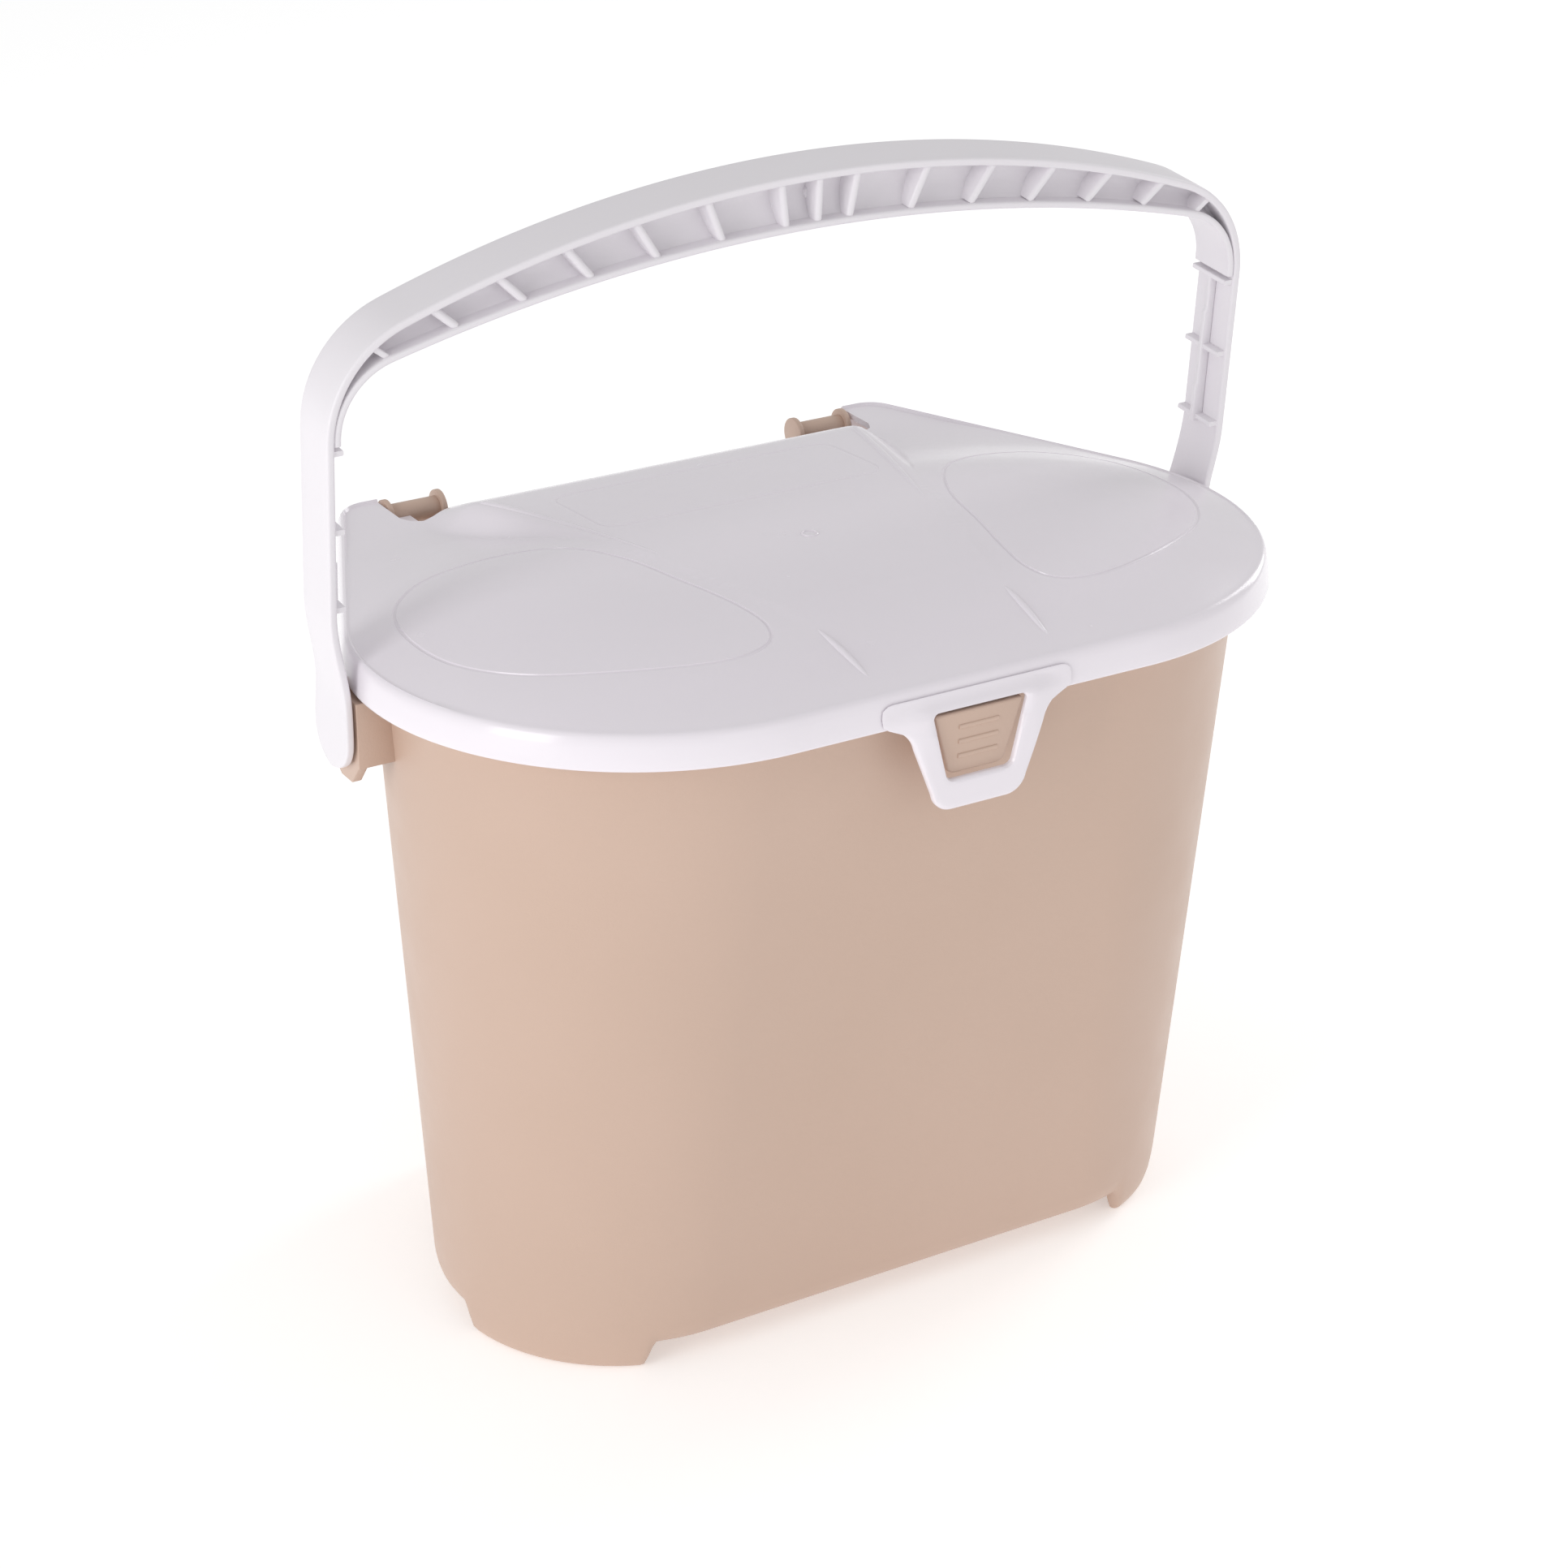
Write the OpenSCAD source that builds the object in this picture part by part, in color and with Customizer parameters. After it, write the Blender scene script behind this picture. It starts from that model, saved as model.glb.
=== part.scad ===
// Lidded carry bin for dry pet food: tapered tub, hinged domed lid with a snap tongue, swinging bail handle.
// +Z is up, +X is the bin's right, the latch faces -Y. The origin is the centre of the footprint on the floor.

/* [Tub] */
// Height of the tub's rim above the floor
rim_z = 246; // [236:1:256]
// Radius of the tub's round ends at the rim
tub_top_r = 89; // [87:0.5:91]
// Radius of the tub's round ends at the foot
tub_foot_r = 66; // [62:0.5:70]
// Half distance between the end-round centres at the rim
tub_top_half = 67; // [66:0.5:68]
// Half distance between the end-round centres at the foot
tub_foot_half = 76; // [73:0.5:79]
// Wall thickness of the tub
wall = 2.2; // [1.8:0.1:2.8]
// Height of the gaps between the corner feet
foot_h = 9; // [6:0.5:12]
// Width of the lip that stands out round the rim
rim_lip = 5.5; // [3:0.5:6]

/* [Lid] */
// Radius of the lid's round ends at the skirt's lower edge
lid_r = 99.5; // [98.5:0.5:100.5]
// Height of the skirt's lower edge above the floor
skirt_z = 243; // [242:0.5:244]
// Height of the lid's shoulder above the floor
shoulder_z = 255; // [253:0.5:257]
// Rise of the dome above the shoulder
dome_rise = 13.5; // [11:0.5:15]
// Wall thickness of the lid
lid_wall = 2.2; // [1.8:0.1:2.6]

/* [Hinge] */
// Distance of the hinge axis behind the centre of the bin
hinge_y = 117; // [116.5:0.1:117.5]
// Height of the hinge axis
hinge_z = 248.5; // [248:0.1:249]
// Radius of the hinge rods
rod_r = 4.2; // [3.8:0.1:4.4]
// Radius of the cheek discs beside each rod
cheek_r = 6.3; // [5.8:0.1:6.5]
// Running clearance between each rod and its clip
rod_gap = 0.06; // [0.03:0.01:0.09]

/* [Latch] */
// Front face of the tongue, measured forward from the centre
tongue_y = 123.3; // [123:0.1:124]
// Thickness of the tongue
tongue_t = 2.5; // [2:0.1:2.6]
// Height of the tongue's lower edge
tongue_low_z = 211; // [208:0.5:214]

/* [Handle] */
// Height of the handle's pivots above the floor
pivot_z = 228; // [226:0.5:229]
// Forward lean of the handle as it stands
handle_lean = 5; // [0:0.5:10]
// Height of the grip's top above the pivots
grip_h = 168.5; // [166:0.1:172]
// Half width of the handle over its legs
leg_x = 175; // [174.7:0.1:176]
// Width of the handle's strap
strap_w = 20.5; // [18:0.5:22]
// Thickness of the handle's strap
strap_t = 2.8; // [2.4:0.1:3]
// Radius of the pivot pins
pin_r = 5; // [4:0.1:5.5]
// Running clearance between each pin and its bore
pin_gap = 0.06; // [0.03:0.01:0.09]

/* [Hidden] */

tan_colour = [0.80, 0.69, 0.60];
white_colour = [0.93, 0.92, 0.94];
eps = 0.01;

// ---- Plan outline shared by the tub and the lid ----
// Each outline is a flat front, two round ends, sides that slant in towards a narrower flat rear,
// and two rounded rear corners. It is listed anticlockwise from the middle of the front.
arc_step = 5;
corner_steps = 5;
foot_reach = 16;

function polar(cx, cy, r, a) = [cx + r * cos(a), cy + r * sin(a)];

function half_outline(r, cx, cy, side, rear, corner_r) =
  let (
    yc = rear - corner_r,
    tangent = polar(cx, cy, r, side),
    xc = (tangent[0] * cos(side) + tangent[1] * sin(side) - corner_r - yc * sin(side)) / cos(side),
    corner_start = polar(xc, yc, corner_r, side)
  )
  concat(
    [[0, cy - r], [cx * 0.6, cy - r]],
    [for (a = [-90:arc_step:side]) polar(cx, cy, r, a)],
    [[corner_start[0] + foot_reach * sin(side), corner_start[1] - foot_reach * cos(side)]],
    [for (k = [0:corner_steps]) polar(xc, yc, corner_r, side + (90 - side) * k / corner_steps)],
    [[xc - foot_reach, rear]]
  );

function mirrored(p) = [for (k = [len(p) - 1:-1:1]) [-p[k][0], p[k][1]]];
function outline(r, cx, cy, side, rear, corner_r) =
  let (half = half_outline(r, cx, cy, side, rear, corner_r)) concat(half, [[0, rear]], mirrored(half));
function at_z(ring, z) = [for (p = ring) [p[0], p[1], z]];
function lerp(a, b, t) = a + (b - a) * t;

// Closed solid through a list of rings, with a point at the middle of the first and last ring.
module loft(first, rings, last) {
  n = len(rings[0]);
  m = len(rings);
  points = concat([first], [for (ring = rings) for (p = ring) p], [last]);
  function id(k, i) = 1 + k * n + i % n;
  faces = concat(
    [for (i = [0:n - 1]) [0, id(0, i), id(0, i + 1)]],
    [for (k = [0:m - 2]) for (i = [0:n - 1]) [id(k, i + 1), id(k, i), id(k + 1, i)]],
    [for (k = [0:m - 2]) for (i = [0:n - 1]) [id(k, i + 1), id(k + 1, i), id(k + 1, i + 1)]],
    [for (i = [0:n - 1]) [id(m - 1, i + 1), id(m - 1, i), 1 + m * n]]
  );
  polyhedron(points, faces, convexity = 6);
}

// ---- Tub ----
side_angle = 25;
tub_top_cy = -20;
tub_foot_cy = -14;
tub_top_rear = 109;
tub_foot_rear = 90;
tub_foot_z = 8;
floor_z = 11;
floor_under_z = 8.8;
front_foot_x = 99;
side_foot_y = -24;
rear_foot_y = 60;
rear_foot_x = 70;

// Plan outline of the tub's wall at height z, moved inwards by inset.
function tub_outline(z, inset = 0) =
  let (t = (z - tub_foot_z) / (rim_z - tub_foot_z))
  outline(
    lerp(tub_foot_r, tub_top_r, t) - inset,
    lerp(tub_foot_half, tub_top_half, t),
    lerp(tub_foot_cy, tub_top_cy, t),
    side_angle,
    lerp(tub_foot_rear, tub_top_rear, t) - inset,
    lerp(20, 16, t) - inset
  );

// The lower edge stands on the floor at four corner feet and is raised between them.
function is_foot(p) =
  (p[1] < side_foot_y && abs(p[0]) > front_foot_x) || (p[1] > rear_foot_y && abs(p[0]) > rear_foot_x);
function lower_edge(ring, reference) =
  [for (i = [0:len(ring) - 1]) [ring[i][0], ring[i][1], is_foot(reference[i]) ? 0 : foot_h]];

// The lip runs round the front and the ends, and fades out before the hinges.
lip_end_y = 40;
function lip_ring(z, grow) =
  let (base = tub_outline(rim_z), wide = tub_outline(rim_z, -grow))
  [for (i = [0:len(base) - 1])
    let (p = base[i][1] > lip_end_y ? base[i] : wide[i]) [p[0], p[1], z]];

module tub() {
  foot_ring = tub_outline(tub_foot_z);
  lip_under_z = rim_z - 5;
  color(tan_colour)
  loft(
    [0, 0, floor_under_z],
    [
      at_z(tub_outline(floor_under_z, wall + 1), floor_under_z),
      lower_edge(tub_outline(0, wall + 3), foot_ring),
      lower_edge(tub_outline(0, 2.2), foot_ring),
      [for (i = [0:len(foot_ring) - 1])
        let (p = tub_outline(foot_h + 3, 0.5)[i]) [p[0], p[1], foot_h + 3]],
      at_z(tub_outline(20), 20),
      at_z(tub_outline(lip_under_z), lip_under_z),
      lip_ring(lip_under_z + 0.6, rim_lip),
      lip_ring(rim_z, rim_lip),
      at_z(tub_outline(rim_z, wall), rim_z),
      at_z(tub_outline(20, wall), 20),
      at_z(tub_outline(floor_z + 3, wall + 1.5), floor_z + 3),
      at_z(tub_outline(floor_z, wall + 5), floor_z)
    ],
    [0, 0, floor_z]
  );
}

// ---- Ears that carry the handle's pivots ----
ear_out_x = 166.9;
ear_plate_t = 3.5;
ear_half_w = 12.5;
ear_rib_t = 2.2;
ear_top_z = 241;
ear_low_z = 218;
ear_tab_z = 211;
ear_front_root_x = 153;
ear_rear_root_x = 147.3;

module ear(side) {
  plate_in_x = ear_out_x - ear_plate_t;
  color(tan_colour)
  mirror([side < 0 ? 1 : 0, 0, 0])
  difference() {
    union() {
      translate([plate_in_x, -ear_half_w, ear_low_z])
        cube([ear_plate_t, 2 * ear_half_w, ear_top_z - ear_low_z]);
      translate([plate_in_x, 0, 0]) rotate([90, 0, 90]) linear_extrude(ear_plate_t)
        polygon([[-ear_half_w, ear_low_z + 1], [-6, ear_tab_z], [2, ear_tab_z], [ear_half_w, ear_low_z + 1]]);
      translate([ear_front_root_x, -ear_half_w, ear_low_z])
        cube([plate_in_x - ear_front_root_x + eps, ear_rib_t, ear_top_z - ear_low_z]);
      translate([ear_rear_root_x, ear_half_w - ear_rib_t, ear_low_z])
        cube([plate_in_x - ear_rear_root_x + eps, ear_rib_t, ear_top_z - ear_low_z]);
    }
    translate([plate_in_x - 1, 0, pivot_z]) rotate([0, 90, 0])
      cylinder(r = pin_r + pin_gap, h = ear_plate_t + 2, $fn = 64);
  }
}

// ---- Hinge brackets and rods at the back ----
hinge_in_x = 75.3;
hinge_out_x = 93.9;
cheek_t = 2;
bracket_low_z = 234;
bracket_root_y = 107.6;

module hinge_bracket(side) {
  color(tan_colour)
  mirror([side < 0 ? 1 : 0, 0, 0])
  for (x = [hinge_in_x - cheek_t, hinge_out_x]) {
    translate([x, hinge_y, hinge_z]) rotate([0, 90, 0]) cylinder(r = cheek_r, h = cheek_t, $fn = 64);
    translate([x, 0, 0]) rotate([90, 0, 90]) linear_extrude(cheek_t) polygon([
      [bracket_root_y, bracket_low_z], [hinge_y - 2, bracket_low_z + 2],
      [hinge_y + cheek_r - 1, hinge_z - 3], [hinge_y, hinge_z], [bracket_root_y + 1, rim_z - 1]
    ]);
  }
}

module hinge_rod(side) {
  color(tan_colour)
  mirror([side < 0 ? 1 : 0, 0, 0])
  translate([hinge_in_x, hinge_y, hinge_z]) rotate([0, 90, 0])
    cylinder(r = rod_r, h = hinge_out_x - hinge_in_x, $fn = 64);
}

// ---- Catch boss that fills the tongue's window ----
window_top_z = 245;
window_low_z = 221.5;
window_top_half = 17.6;
window_low_half = 12.2;
boss_gap = 0.8;
boss_low_root_y = 104.9;
boss_top_root_y = 107.8;
boss_low_y = 120.4;
boss_top_y = 121.8;

// Trapezium with rounded lower corners, drawn in X and Z.
module tapered_tab(top_half, low_half, top_z, low_z, corner) {
  polygon(concat(
    [[top_half, top_z]],
    [for (a = [0:-15:-90]) [low_half - corner + corner * cos(a), low_z + corner + corner * sin(a)]],
    [for (a = [-90:-15:-180]) [-low_half + corner + corner * cos(a), low_z + corner + corner * sin(a)]],
    [[-top_half, top_z]]
  ));
}

module catch_boss() {
  color(tan_colour)
  intersection() {
    translate([0, -100, 0]) rotate([90, 0, 0]) linear_extrude(30)
      tapered_tab(window_top_half - boss_gap, window_low_half - boss_gap,
        window_top_z - boss_gap, window_low_z + boss_gap, 3.5);
    // The face leans, so the lower bar of the window clears it as the lid lifts.
    translate([-30, 0, 0]) rotate([90, 0, 90]) linear_extrude(60) polygon([
      [-boss_low_root_y, window_low_z], [-boss_low_y, window_low_z],
      [-boss_top_y, window_top_z], [-boss_top_root_y, window_top_z]
    ]);
  }
}

// ---- Lid ----
lid_half = 67;
lid_cy = -21;
lid_rear = 122.5;
notch_in_x = 72.3;
notch_out_x = 97;
notch_front_y = 95;
relief_half = 20;
relief_z = 247;

function lid_outline(inset) =
  outline(lid_r - inset, lid_half, lid_cy, side_angle - 1, lid_rear - inset, max(14 - inset, 2));

// Between the hinge notches the lid's rear is pulled forward and slopes down to the hinge line.
rear_mid_x = 72;
rear_mid_y = 114.5;
rear_mid_z = 249.4;
rear_slope = 0.43;
rear_keep_x = 94;
function is_rear_mid(p) = p[1] > 0 && abs(p[0]) < rear_keep_x;
function rear_mid_point(p, inset, z) = [sign(p[0]) * min(abs(p[0]), rear_mid_x), rear_mid_y - 0.85 * inset, z];
function flat_ring(inset, z, rear_z) =
  [for (p = lid_outline(inset)) is_rear_mid(p) ? rear_mid_point(p, inset, rear_z) : [p[0], p[1], z]];

// Dome height over the shoulder: it rises inwards from the edge and stays low behind, by the hinges.
dome_back_y = 94;
dome_fade = 40;
function dome_z(y, part) =
  shoulder_z + dome_rise * part * min(1, max(0, (dome_back_y - y) / dome_fade));
function dome_ring(inset, part, drop) =
  let (rear_z = min(shoulder_z + dome_rise * part, rear_mid_z + rear_slope * 0.85 * inset))
  [for (p = lid_outline(inset)) is_rear_mid(p)
    ? rear_mid_point(p, inset, rear_z - drop)
    : [p[0], p[1], dome_z(p[1], part) - drop]];

module lid() {
  color(white_colour)
  difference() {
    loft(
      [0, lid_cy, shoulder_z + dome_rise - lid_wall],
      [
        dome_ring(62, 1, lid_wall),
        dome_ring(40, 0.85, lid_wall),
        dome_ring(18, 0.45, lid_wall),
        flat_ring(5.2, shoulder_z - lid_wall, rear_mid_z - lid_wall),
        flat_ring(3.8, shoulder_z - 4, rear_mid_z - 3),
        flat_ring(lid_wall, skirt_z, skirt_z),
        flat_ring(0, skirt_z, skirt_z),
        flat_ring(1.2, shoulder_z - 4, rear_mid_z - 3),
        flat_ring(1.9, shoulder_z - 1.6, rear_mid_z - 1.2),
        flat_ring(3.6, shoulder_z, rear_mid_z),
        dome_ring(18, 0.45, 0),
        dome_ring(40, 0.85, 0),
        dome_ring(62, 1, 0)
      ],
      [0, lid_cy, shoulder_z + dome_rise]
    );
    for (s = [-1, 1])
      translate([s > 0 ? notch_in_x : -notch_out_x, notch_front_y, skirt_z - 5])
        cube([notch_out_x - notch_in_x, 40, 30]);
    // Relief behind the tongue's window, so the skirt clears the catch boss.
    translate([-relief_half, -tongue_y, skirt_z - 5]) cube([2 * relief_half, 12, relief_z - skirt_z + 5]);
  }
}

clip_in_x = 87.5;
clip_w = 5;
clip_r = 6;
clip_arm_z = 247.2;
clip_arm_t = 2.8;
clip_post_z = 254.7;

// Clip under the lid that holds the rod from the front round to the back, open at the top.
module lid_clip(side) {
  color(white_colour)
  mirror([side < 0 ? 1 : 0, 0, 0])
  translate([clip_in_x, 0, 0])
  difference() {
    union() {
      translate([0, hinge_y, hinge_z]) rotate([0, 90, 0]) cylinder(r = clip_r, h = clip_w, $fn = 64);
      translate([0, notch_front_y - 7, clip_arm_z]) cube([clip_w, hinge_y - notch_front_y + 7, clip_arm_t]);
      translate([0, notch_front_y - 7, clip_arm_z]) cube([clip_w, 6, clip_post_z - clip_arm_z]);
    }
    translate([-1, hinge_y, hinge_z]) rotate([0, 90, 0])
      cylinder(r = rod_r + rod_gap, h = clip_w + 2, $fn = 64);
    translate([-1, hinge_y - rod_r + 0.6, hinge_z + 1.6]) cube([clip_w + 2, 20, 10]);
  }
}

// ---- Latch tongue ----
tongue_top_z = 251.5;
tongue_low_half = 18.4;
tongue_corner = 7;
tongue_flare = 7.5;
tongue_wing_half = 33;
// Right edge from the top down: wing, hollow curve under the wing, then the rounded lower corner.
tongue_side = concat(
  [[tongue_wing_half, tongue_top_z], [tongue_wing_half, skirt_z]],
  [for (a = [90:15:180]) polar(tongue_wing_half - 1, skirt_z - tongue_flare, tongue_flare, a)],
  [for (a = [0:-15:-90]) polar(tongue_low_half - tongue_corner, tongue_low_z + tongue_corner, tongue_corner, a)]
);

module latch_tongue() {
  color(white_colour)
  translate([0, tongue_t - tongue_y, 0]) rotate([90, 0, 0]) linear_extrude(tongue_t) difference() {
    polygon(concat(tongue_side, [for (p = backwards(tongue_side)) [-p[0], p[1]]]));
    tapered_tab(window_top_half, window_low_half, window_top_z, window_low_z, 4);
  }
}

// ---- Handle ----
// It is drawn standing in X and height above the pivots, then leaned about the pivot axis.
arch_r = 440;
corner_r = 40;
grip_r = 590;
grip_low_h = 149;
grip_corner_r = 24;
grip_flange_t = 2.5;
grip_leg_x = leg_x - strap_t - grip_flange_t;
grip_end_h = 104;
leg_foot_h = 44;
arch_steps = 28;
corner_parts = 12;

// Curve from the left leg over the grip to the right leg: arch, two corner rounds, upright ends.
function bail_curve(top_h, big_r, small_r, x_leg, low_h) =
  let (
    xc = x_leg - small_r,
    hc = top_h - big_r + sqrt(pow(big_r - small_r, 2) - xc * xc),
    meet = atan2(hc - (top_h - big_r), xc),
    right = concat(
      [for (k = [0:arch_steps]) polar(0, top_h - big_r, big_r, 90 - (90 - meet) * k / arch_steps)],
      [for (k = [1:corner_parts]) polar(xc, hc, small_r, meet * (1 - k / corner_parts))],
      low_h < hc ? [[x_leg, low_h]] : []
    )
  )
  concat([for (k = [len(right) - 1:-1:1]) [-right[k][0], right[k][1]]], right);

function backwards(p) = [for (k = [len(p) - 1:-1:0]) p[k]];
outer_curve = bail_curve(grip_h, arch_r, corner_r, leg_x, leg_foot_h);
inner_curve = bail_curve(grip_h - strap_t, arch_r - strap_t, corner_r - strap_t, leg_x - strap_t, leg_foot_h);
grip_outer = bail_curve(grip_low_h + grip_flange_t, grip_r + grip_flange_t, grip_corner_r + grip_flange_t,
  grip_leg_x + grip_flange_t, grip_end_h);
grip_inner = bail_curve(grip_low_h, grip_r, grip_corner_r, grip_leg_x, grip_end_h);
cell_low_h = 112;
cell_curve = bail_curve(grip_h - strap_t, arch_r - strap_t, corner_r - strap_t, leg_x - strap_t, cell_low_h);

module stand_handle() {
  translate([0, 0, pivot_z]) rotate([handle_lean, 0, 0]) children();
}

// Extrudes a drawing in X and height to a depth centred on the handle's plane.
module slab(depth) {
  translate([0, depth / 2, 0]) rotate([90, 0, 0]) linear_extrude(depth) children();
}

jog_x = 4.2;
boss_plate_x = leg_x - strap_t - jog_x;
jog_low_h = 14;
pivot_end_r = 12.5;

module handle_strap() {
  color(white_colour)
  stand_handle() {
    slab(strap_w) polygon(concat(outer_curve, backwards(inner_curve)));
    for (s = [-1, 1]) mirror([s < 0 ? 1 : 0, 0, 0]) {
      slab(strap_w) polygon([
        [leg_x, leg_foot_h], [leg_x - jog_x, jog_low_h], [leg_x - jog_x, 0],
        [boss_plate_x, 0], [boss_plate_x, jog_low_h], [leg_x - strap_t, leg_foot_h]
      ]);
      translate([boss_plate_x, 0, 0]) rotate([0, 90, 0]) cylinder(r = pivot_end_r, h = strap_t, $fn = 72);
    }
  }
}

module cell_region() {
  difference() {
    polygon(cell_curve);
    polygon(concat(grip_outer, [[200, 0], [-200, 0]]));
  }
}

web_t = 2;
module handle_web() {
  color(white_colour)
  stand_handle() slab(web_t) cell_region();
}

grip_w = 20;
module handle_grip_flange() {
  color(white_colour)
  stand_handle() slab(grip_w) polygon(concat(grip_outer, backwards(grip_inner)));
}

rib_count = 7;
rib_first_x = 12;
rib_pitch = 23.6;
rib_t = 1.6;
rib_lean_max = 60;
rib_lean_reach = 75;
rib_depth = 8;

// Upright ribs near the middle that lean outwards more and more towards the corners.
module cross_ribs_drawing() {
  intersection() {
    cell_region();
    union() {
      translate([-rib_t / 2, 0]) square([rib_t, 200]);
      for (s = [-1, 1]) for (k = [0:rib_count - 1]) {
        x = rib_first_x + rib_pitch * k;
        low_h = grip_low_h - x * x / (2 * grip_r);
        translate([s * x, low_h]) rotate(-s * rib_lean_max * (1 - exp(-x / rib_lean_reach)))
          translate([-rib_t / 2, -5]) square([rib_t, 40]);
      }
    }
  }
}

module handle_cross_ribs() {
  color(white_colour)
  stand_handle() for (s = [-1, 1]) translate([0, s * (web_t + rib_depth) / 2, 0])
    slab(rib_depth) cross_ribs_drawing();
}

leg_rib_t = 2;
leg_rib_high_h = 104;
leg_rib_mid_h = 88;
leg_rib_step_h = 60;
leg_rib_low_h = 46;
leg_rib_deep = 4.5;
leg_rib_middle = 3.8;
leg_rib_shallow = 3;

module handle_leg_rib(side) {
  x_face = leg_x - strap_t;
  color(white_colour)
  stand_handle() mirror([side < 0 ? 1 : 0, 0, 0]) slab(leg_rib_t) polygon([
    [x_face, leg_rib_low_h], [x_face - leg_rib_deep, leg_rib_low_h],
    [x_face - leg_rib_deep, leg_rib_step_h], [x_face - leg_rib_middle, leg_rib_step_h + 1],
    [x_face - leg_rib_middle, leg_rib_mid_h], [x_face - leg_rib_shallow, leg_rib_mid_h + 1],
    [x_face - leg_rib_shallow, leg_rib_high_h - 1], [x_face, leg_rib_high_h - 1]
  ]);
}

pin_head_r = 6.6;
pin_head_t = 2.2;
pin_head_gap = 0.6;

module handle_pin(side) {
  head_x = ear_out_x - ear_plate_t - pin_head_gap - pin_head_t;
  color(white_colour)
  mirror([side < 0 ? 1 : 0, 0, 0]) {
    translate([head_x, 0, pivot_z]) rotate([0, 90, 0]) cylinder(r = pin_r, h = boss_plate_x - head_x, $fn = 64);
    translate([head_x, 0, pivot_z]) rotate([0, 90, 0]) cylinder(r = pin_head_r, h = pin_head_t, $fn = 64);
  }
}

tub();
ear(-1);  // ear_left
ear(1);  // ear_right
hinge_bracket(-1);  // hinge_bracket_left
hinge_bracket(1);  // hinge_bracket_right
hinge_rod(-1);  // hinge_rod_left
hinge_rod(1);  // hinge_rod_right
catch_boss();
lid();
lid_clip(-1);  // lid_clip_left
lid_clip(1);  // lid_clip_right
latch_tongue();
handle_strap();
handle_web();
handle_grip_flange();
handle_cross_ribs();
handle_leg_rib(-1);  // handle_leg_rib_left
handle_leg_rib(1);  // handle_leg_rib_right
handle_pin(-1);  // handle_pin_left
handle_pin(1);  // handle_pin_right
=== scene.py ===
# %% [markdown]
# # A lidded bin for dry pet food
#
# The real bin is a few injection mouldings: a beige tub, a glossy white lid with a springy tongue,
# and a white bail handle whose grip is stiffened with ribs. This lesson builds the visible skin of
# each moulding round a packed mechanical model. The model is loaded first, because it says how big
# every part is and which parts move together.

import math

import bmesh
import bpy
import numpy as np
from mathutils import Matrix, Vector


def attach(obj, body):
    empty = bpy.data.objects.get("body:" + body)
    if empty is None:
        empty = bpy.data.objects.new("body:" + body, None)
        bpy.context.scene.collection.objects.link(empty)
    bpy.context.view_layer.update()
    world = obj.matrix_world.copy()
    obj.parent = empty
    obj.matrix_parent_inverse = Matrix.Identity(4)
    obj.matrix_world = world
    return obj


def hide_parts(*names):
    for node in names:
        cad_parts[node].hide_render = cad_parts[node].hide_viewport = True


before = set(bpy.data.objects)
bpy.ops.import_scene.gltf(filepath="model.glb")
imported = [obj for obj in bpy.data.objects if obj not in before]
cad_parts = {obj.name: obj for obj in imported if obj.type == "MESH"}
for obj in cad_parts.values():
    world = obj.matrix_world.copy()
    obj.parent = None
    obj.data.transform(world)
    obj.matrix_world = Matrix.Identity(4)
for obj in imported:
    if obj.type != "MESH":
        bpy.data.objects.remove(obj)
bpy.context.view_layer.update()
MM = 0.001

# %% [markdown]
# ## Plastics
#
# Moulded polypropylene is never one flat colour. It has a fine grain left by the mould, broad and
# very weak clouding where the melt flowed, and slow ripples that bend a highlight. One function
# makes every plastic here, and its arguments set how strong each of those is. The patterns read
# Object coordinates, so they keep their real size in metres on every piece.

# %% A plastic with grain, clouding and ripples
def noise(tree, coords, scale, detail=2.0):
    node = tree.nodes.new("ShaderNodeTexNoise")
    node.inputs["Scale"].default_value = scale
    node.inputs["Detail"].default_value = detail
    tree.links.new(coords.outputs["Object"], node.inputs["Vector"])
    return node


def ramp(tree, source, low, high, start=0.3, end=0.7):
    node = tree.nodes.new("ShaderNodeValToRGB")
    node.color_ramp.elements[0].position = start
    node.color_ramp.elements[0].color = low
    node.color_ramp.elements[1].position = end
    node.color_ramp.elements[1].color = high
    tree.links.new(source.outputs["Fac"], node.inputs["Fac"])
    return node


def bump(tree, height, strength, distance, under=None):
    node = tree.nodes.new("ShaderNodeBump")
    node.inputs["Strength"].default_value = strength
    node.inputs["Distance"].default_value = distance
    tree.links.new(height.outputs["Fac"], node.inputs["Height"])
    if under:
        tree.links.new(under.outputs["Normal"], node.inputs["Normal"])
    return node


def plastic(name, light, dark, smooth, rough, grain_mm, grain, ripple, coat=0.0):
    material = bpy.data.materials.new(name)
    material.use_nodes = True
    tree = material.node_tree
    shader = tree.nodes["Principled BSDF"]
    coords = tree.nodes.new("ShaderNodeTexCoord")
    clouds = noise(tree, coords, 9.0, 3.0)
    grains = noise(tree, coords, 1.0 / (grain_mm * MM), 2.0)
    ripples = noise(tree, coords, 14.0, 1.0)
    scuffs = noise(tree, coords, 60.0, 6.0)
    colour = ramp(tree, clouds, (*dark, 1.0), (*light, 1.0))
    gloss = ramp(tree, scuffs, (smooth,) * 3 + (1.0,), (rough,) * 3 + (1.0,), 0.35, 0.75)
    slow = bump(tree, ripples, ripple, 0.002)
    fine = bump(tree, grains, grain, 0.0002, slow)
    tree.links.new(colour.outputs["Color"], shader.inputs["Base Color"])
    tree.links.new(gloss.outputs["Color"], shader.inputs["Roughness"])
    tree.links.new(fine.outputs["Normal"], shader.inputs["Normal"])
    shader.inputs["IOR"].default_value = 1.49
    shader.inputs["Coat Weight"].default_value = coat
    shader.inputs["Coat Roughness"].default_value = 0.12
    return material


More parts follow.
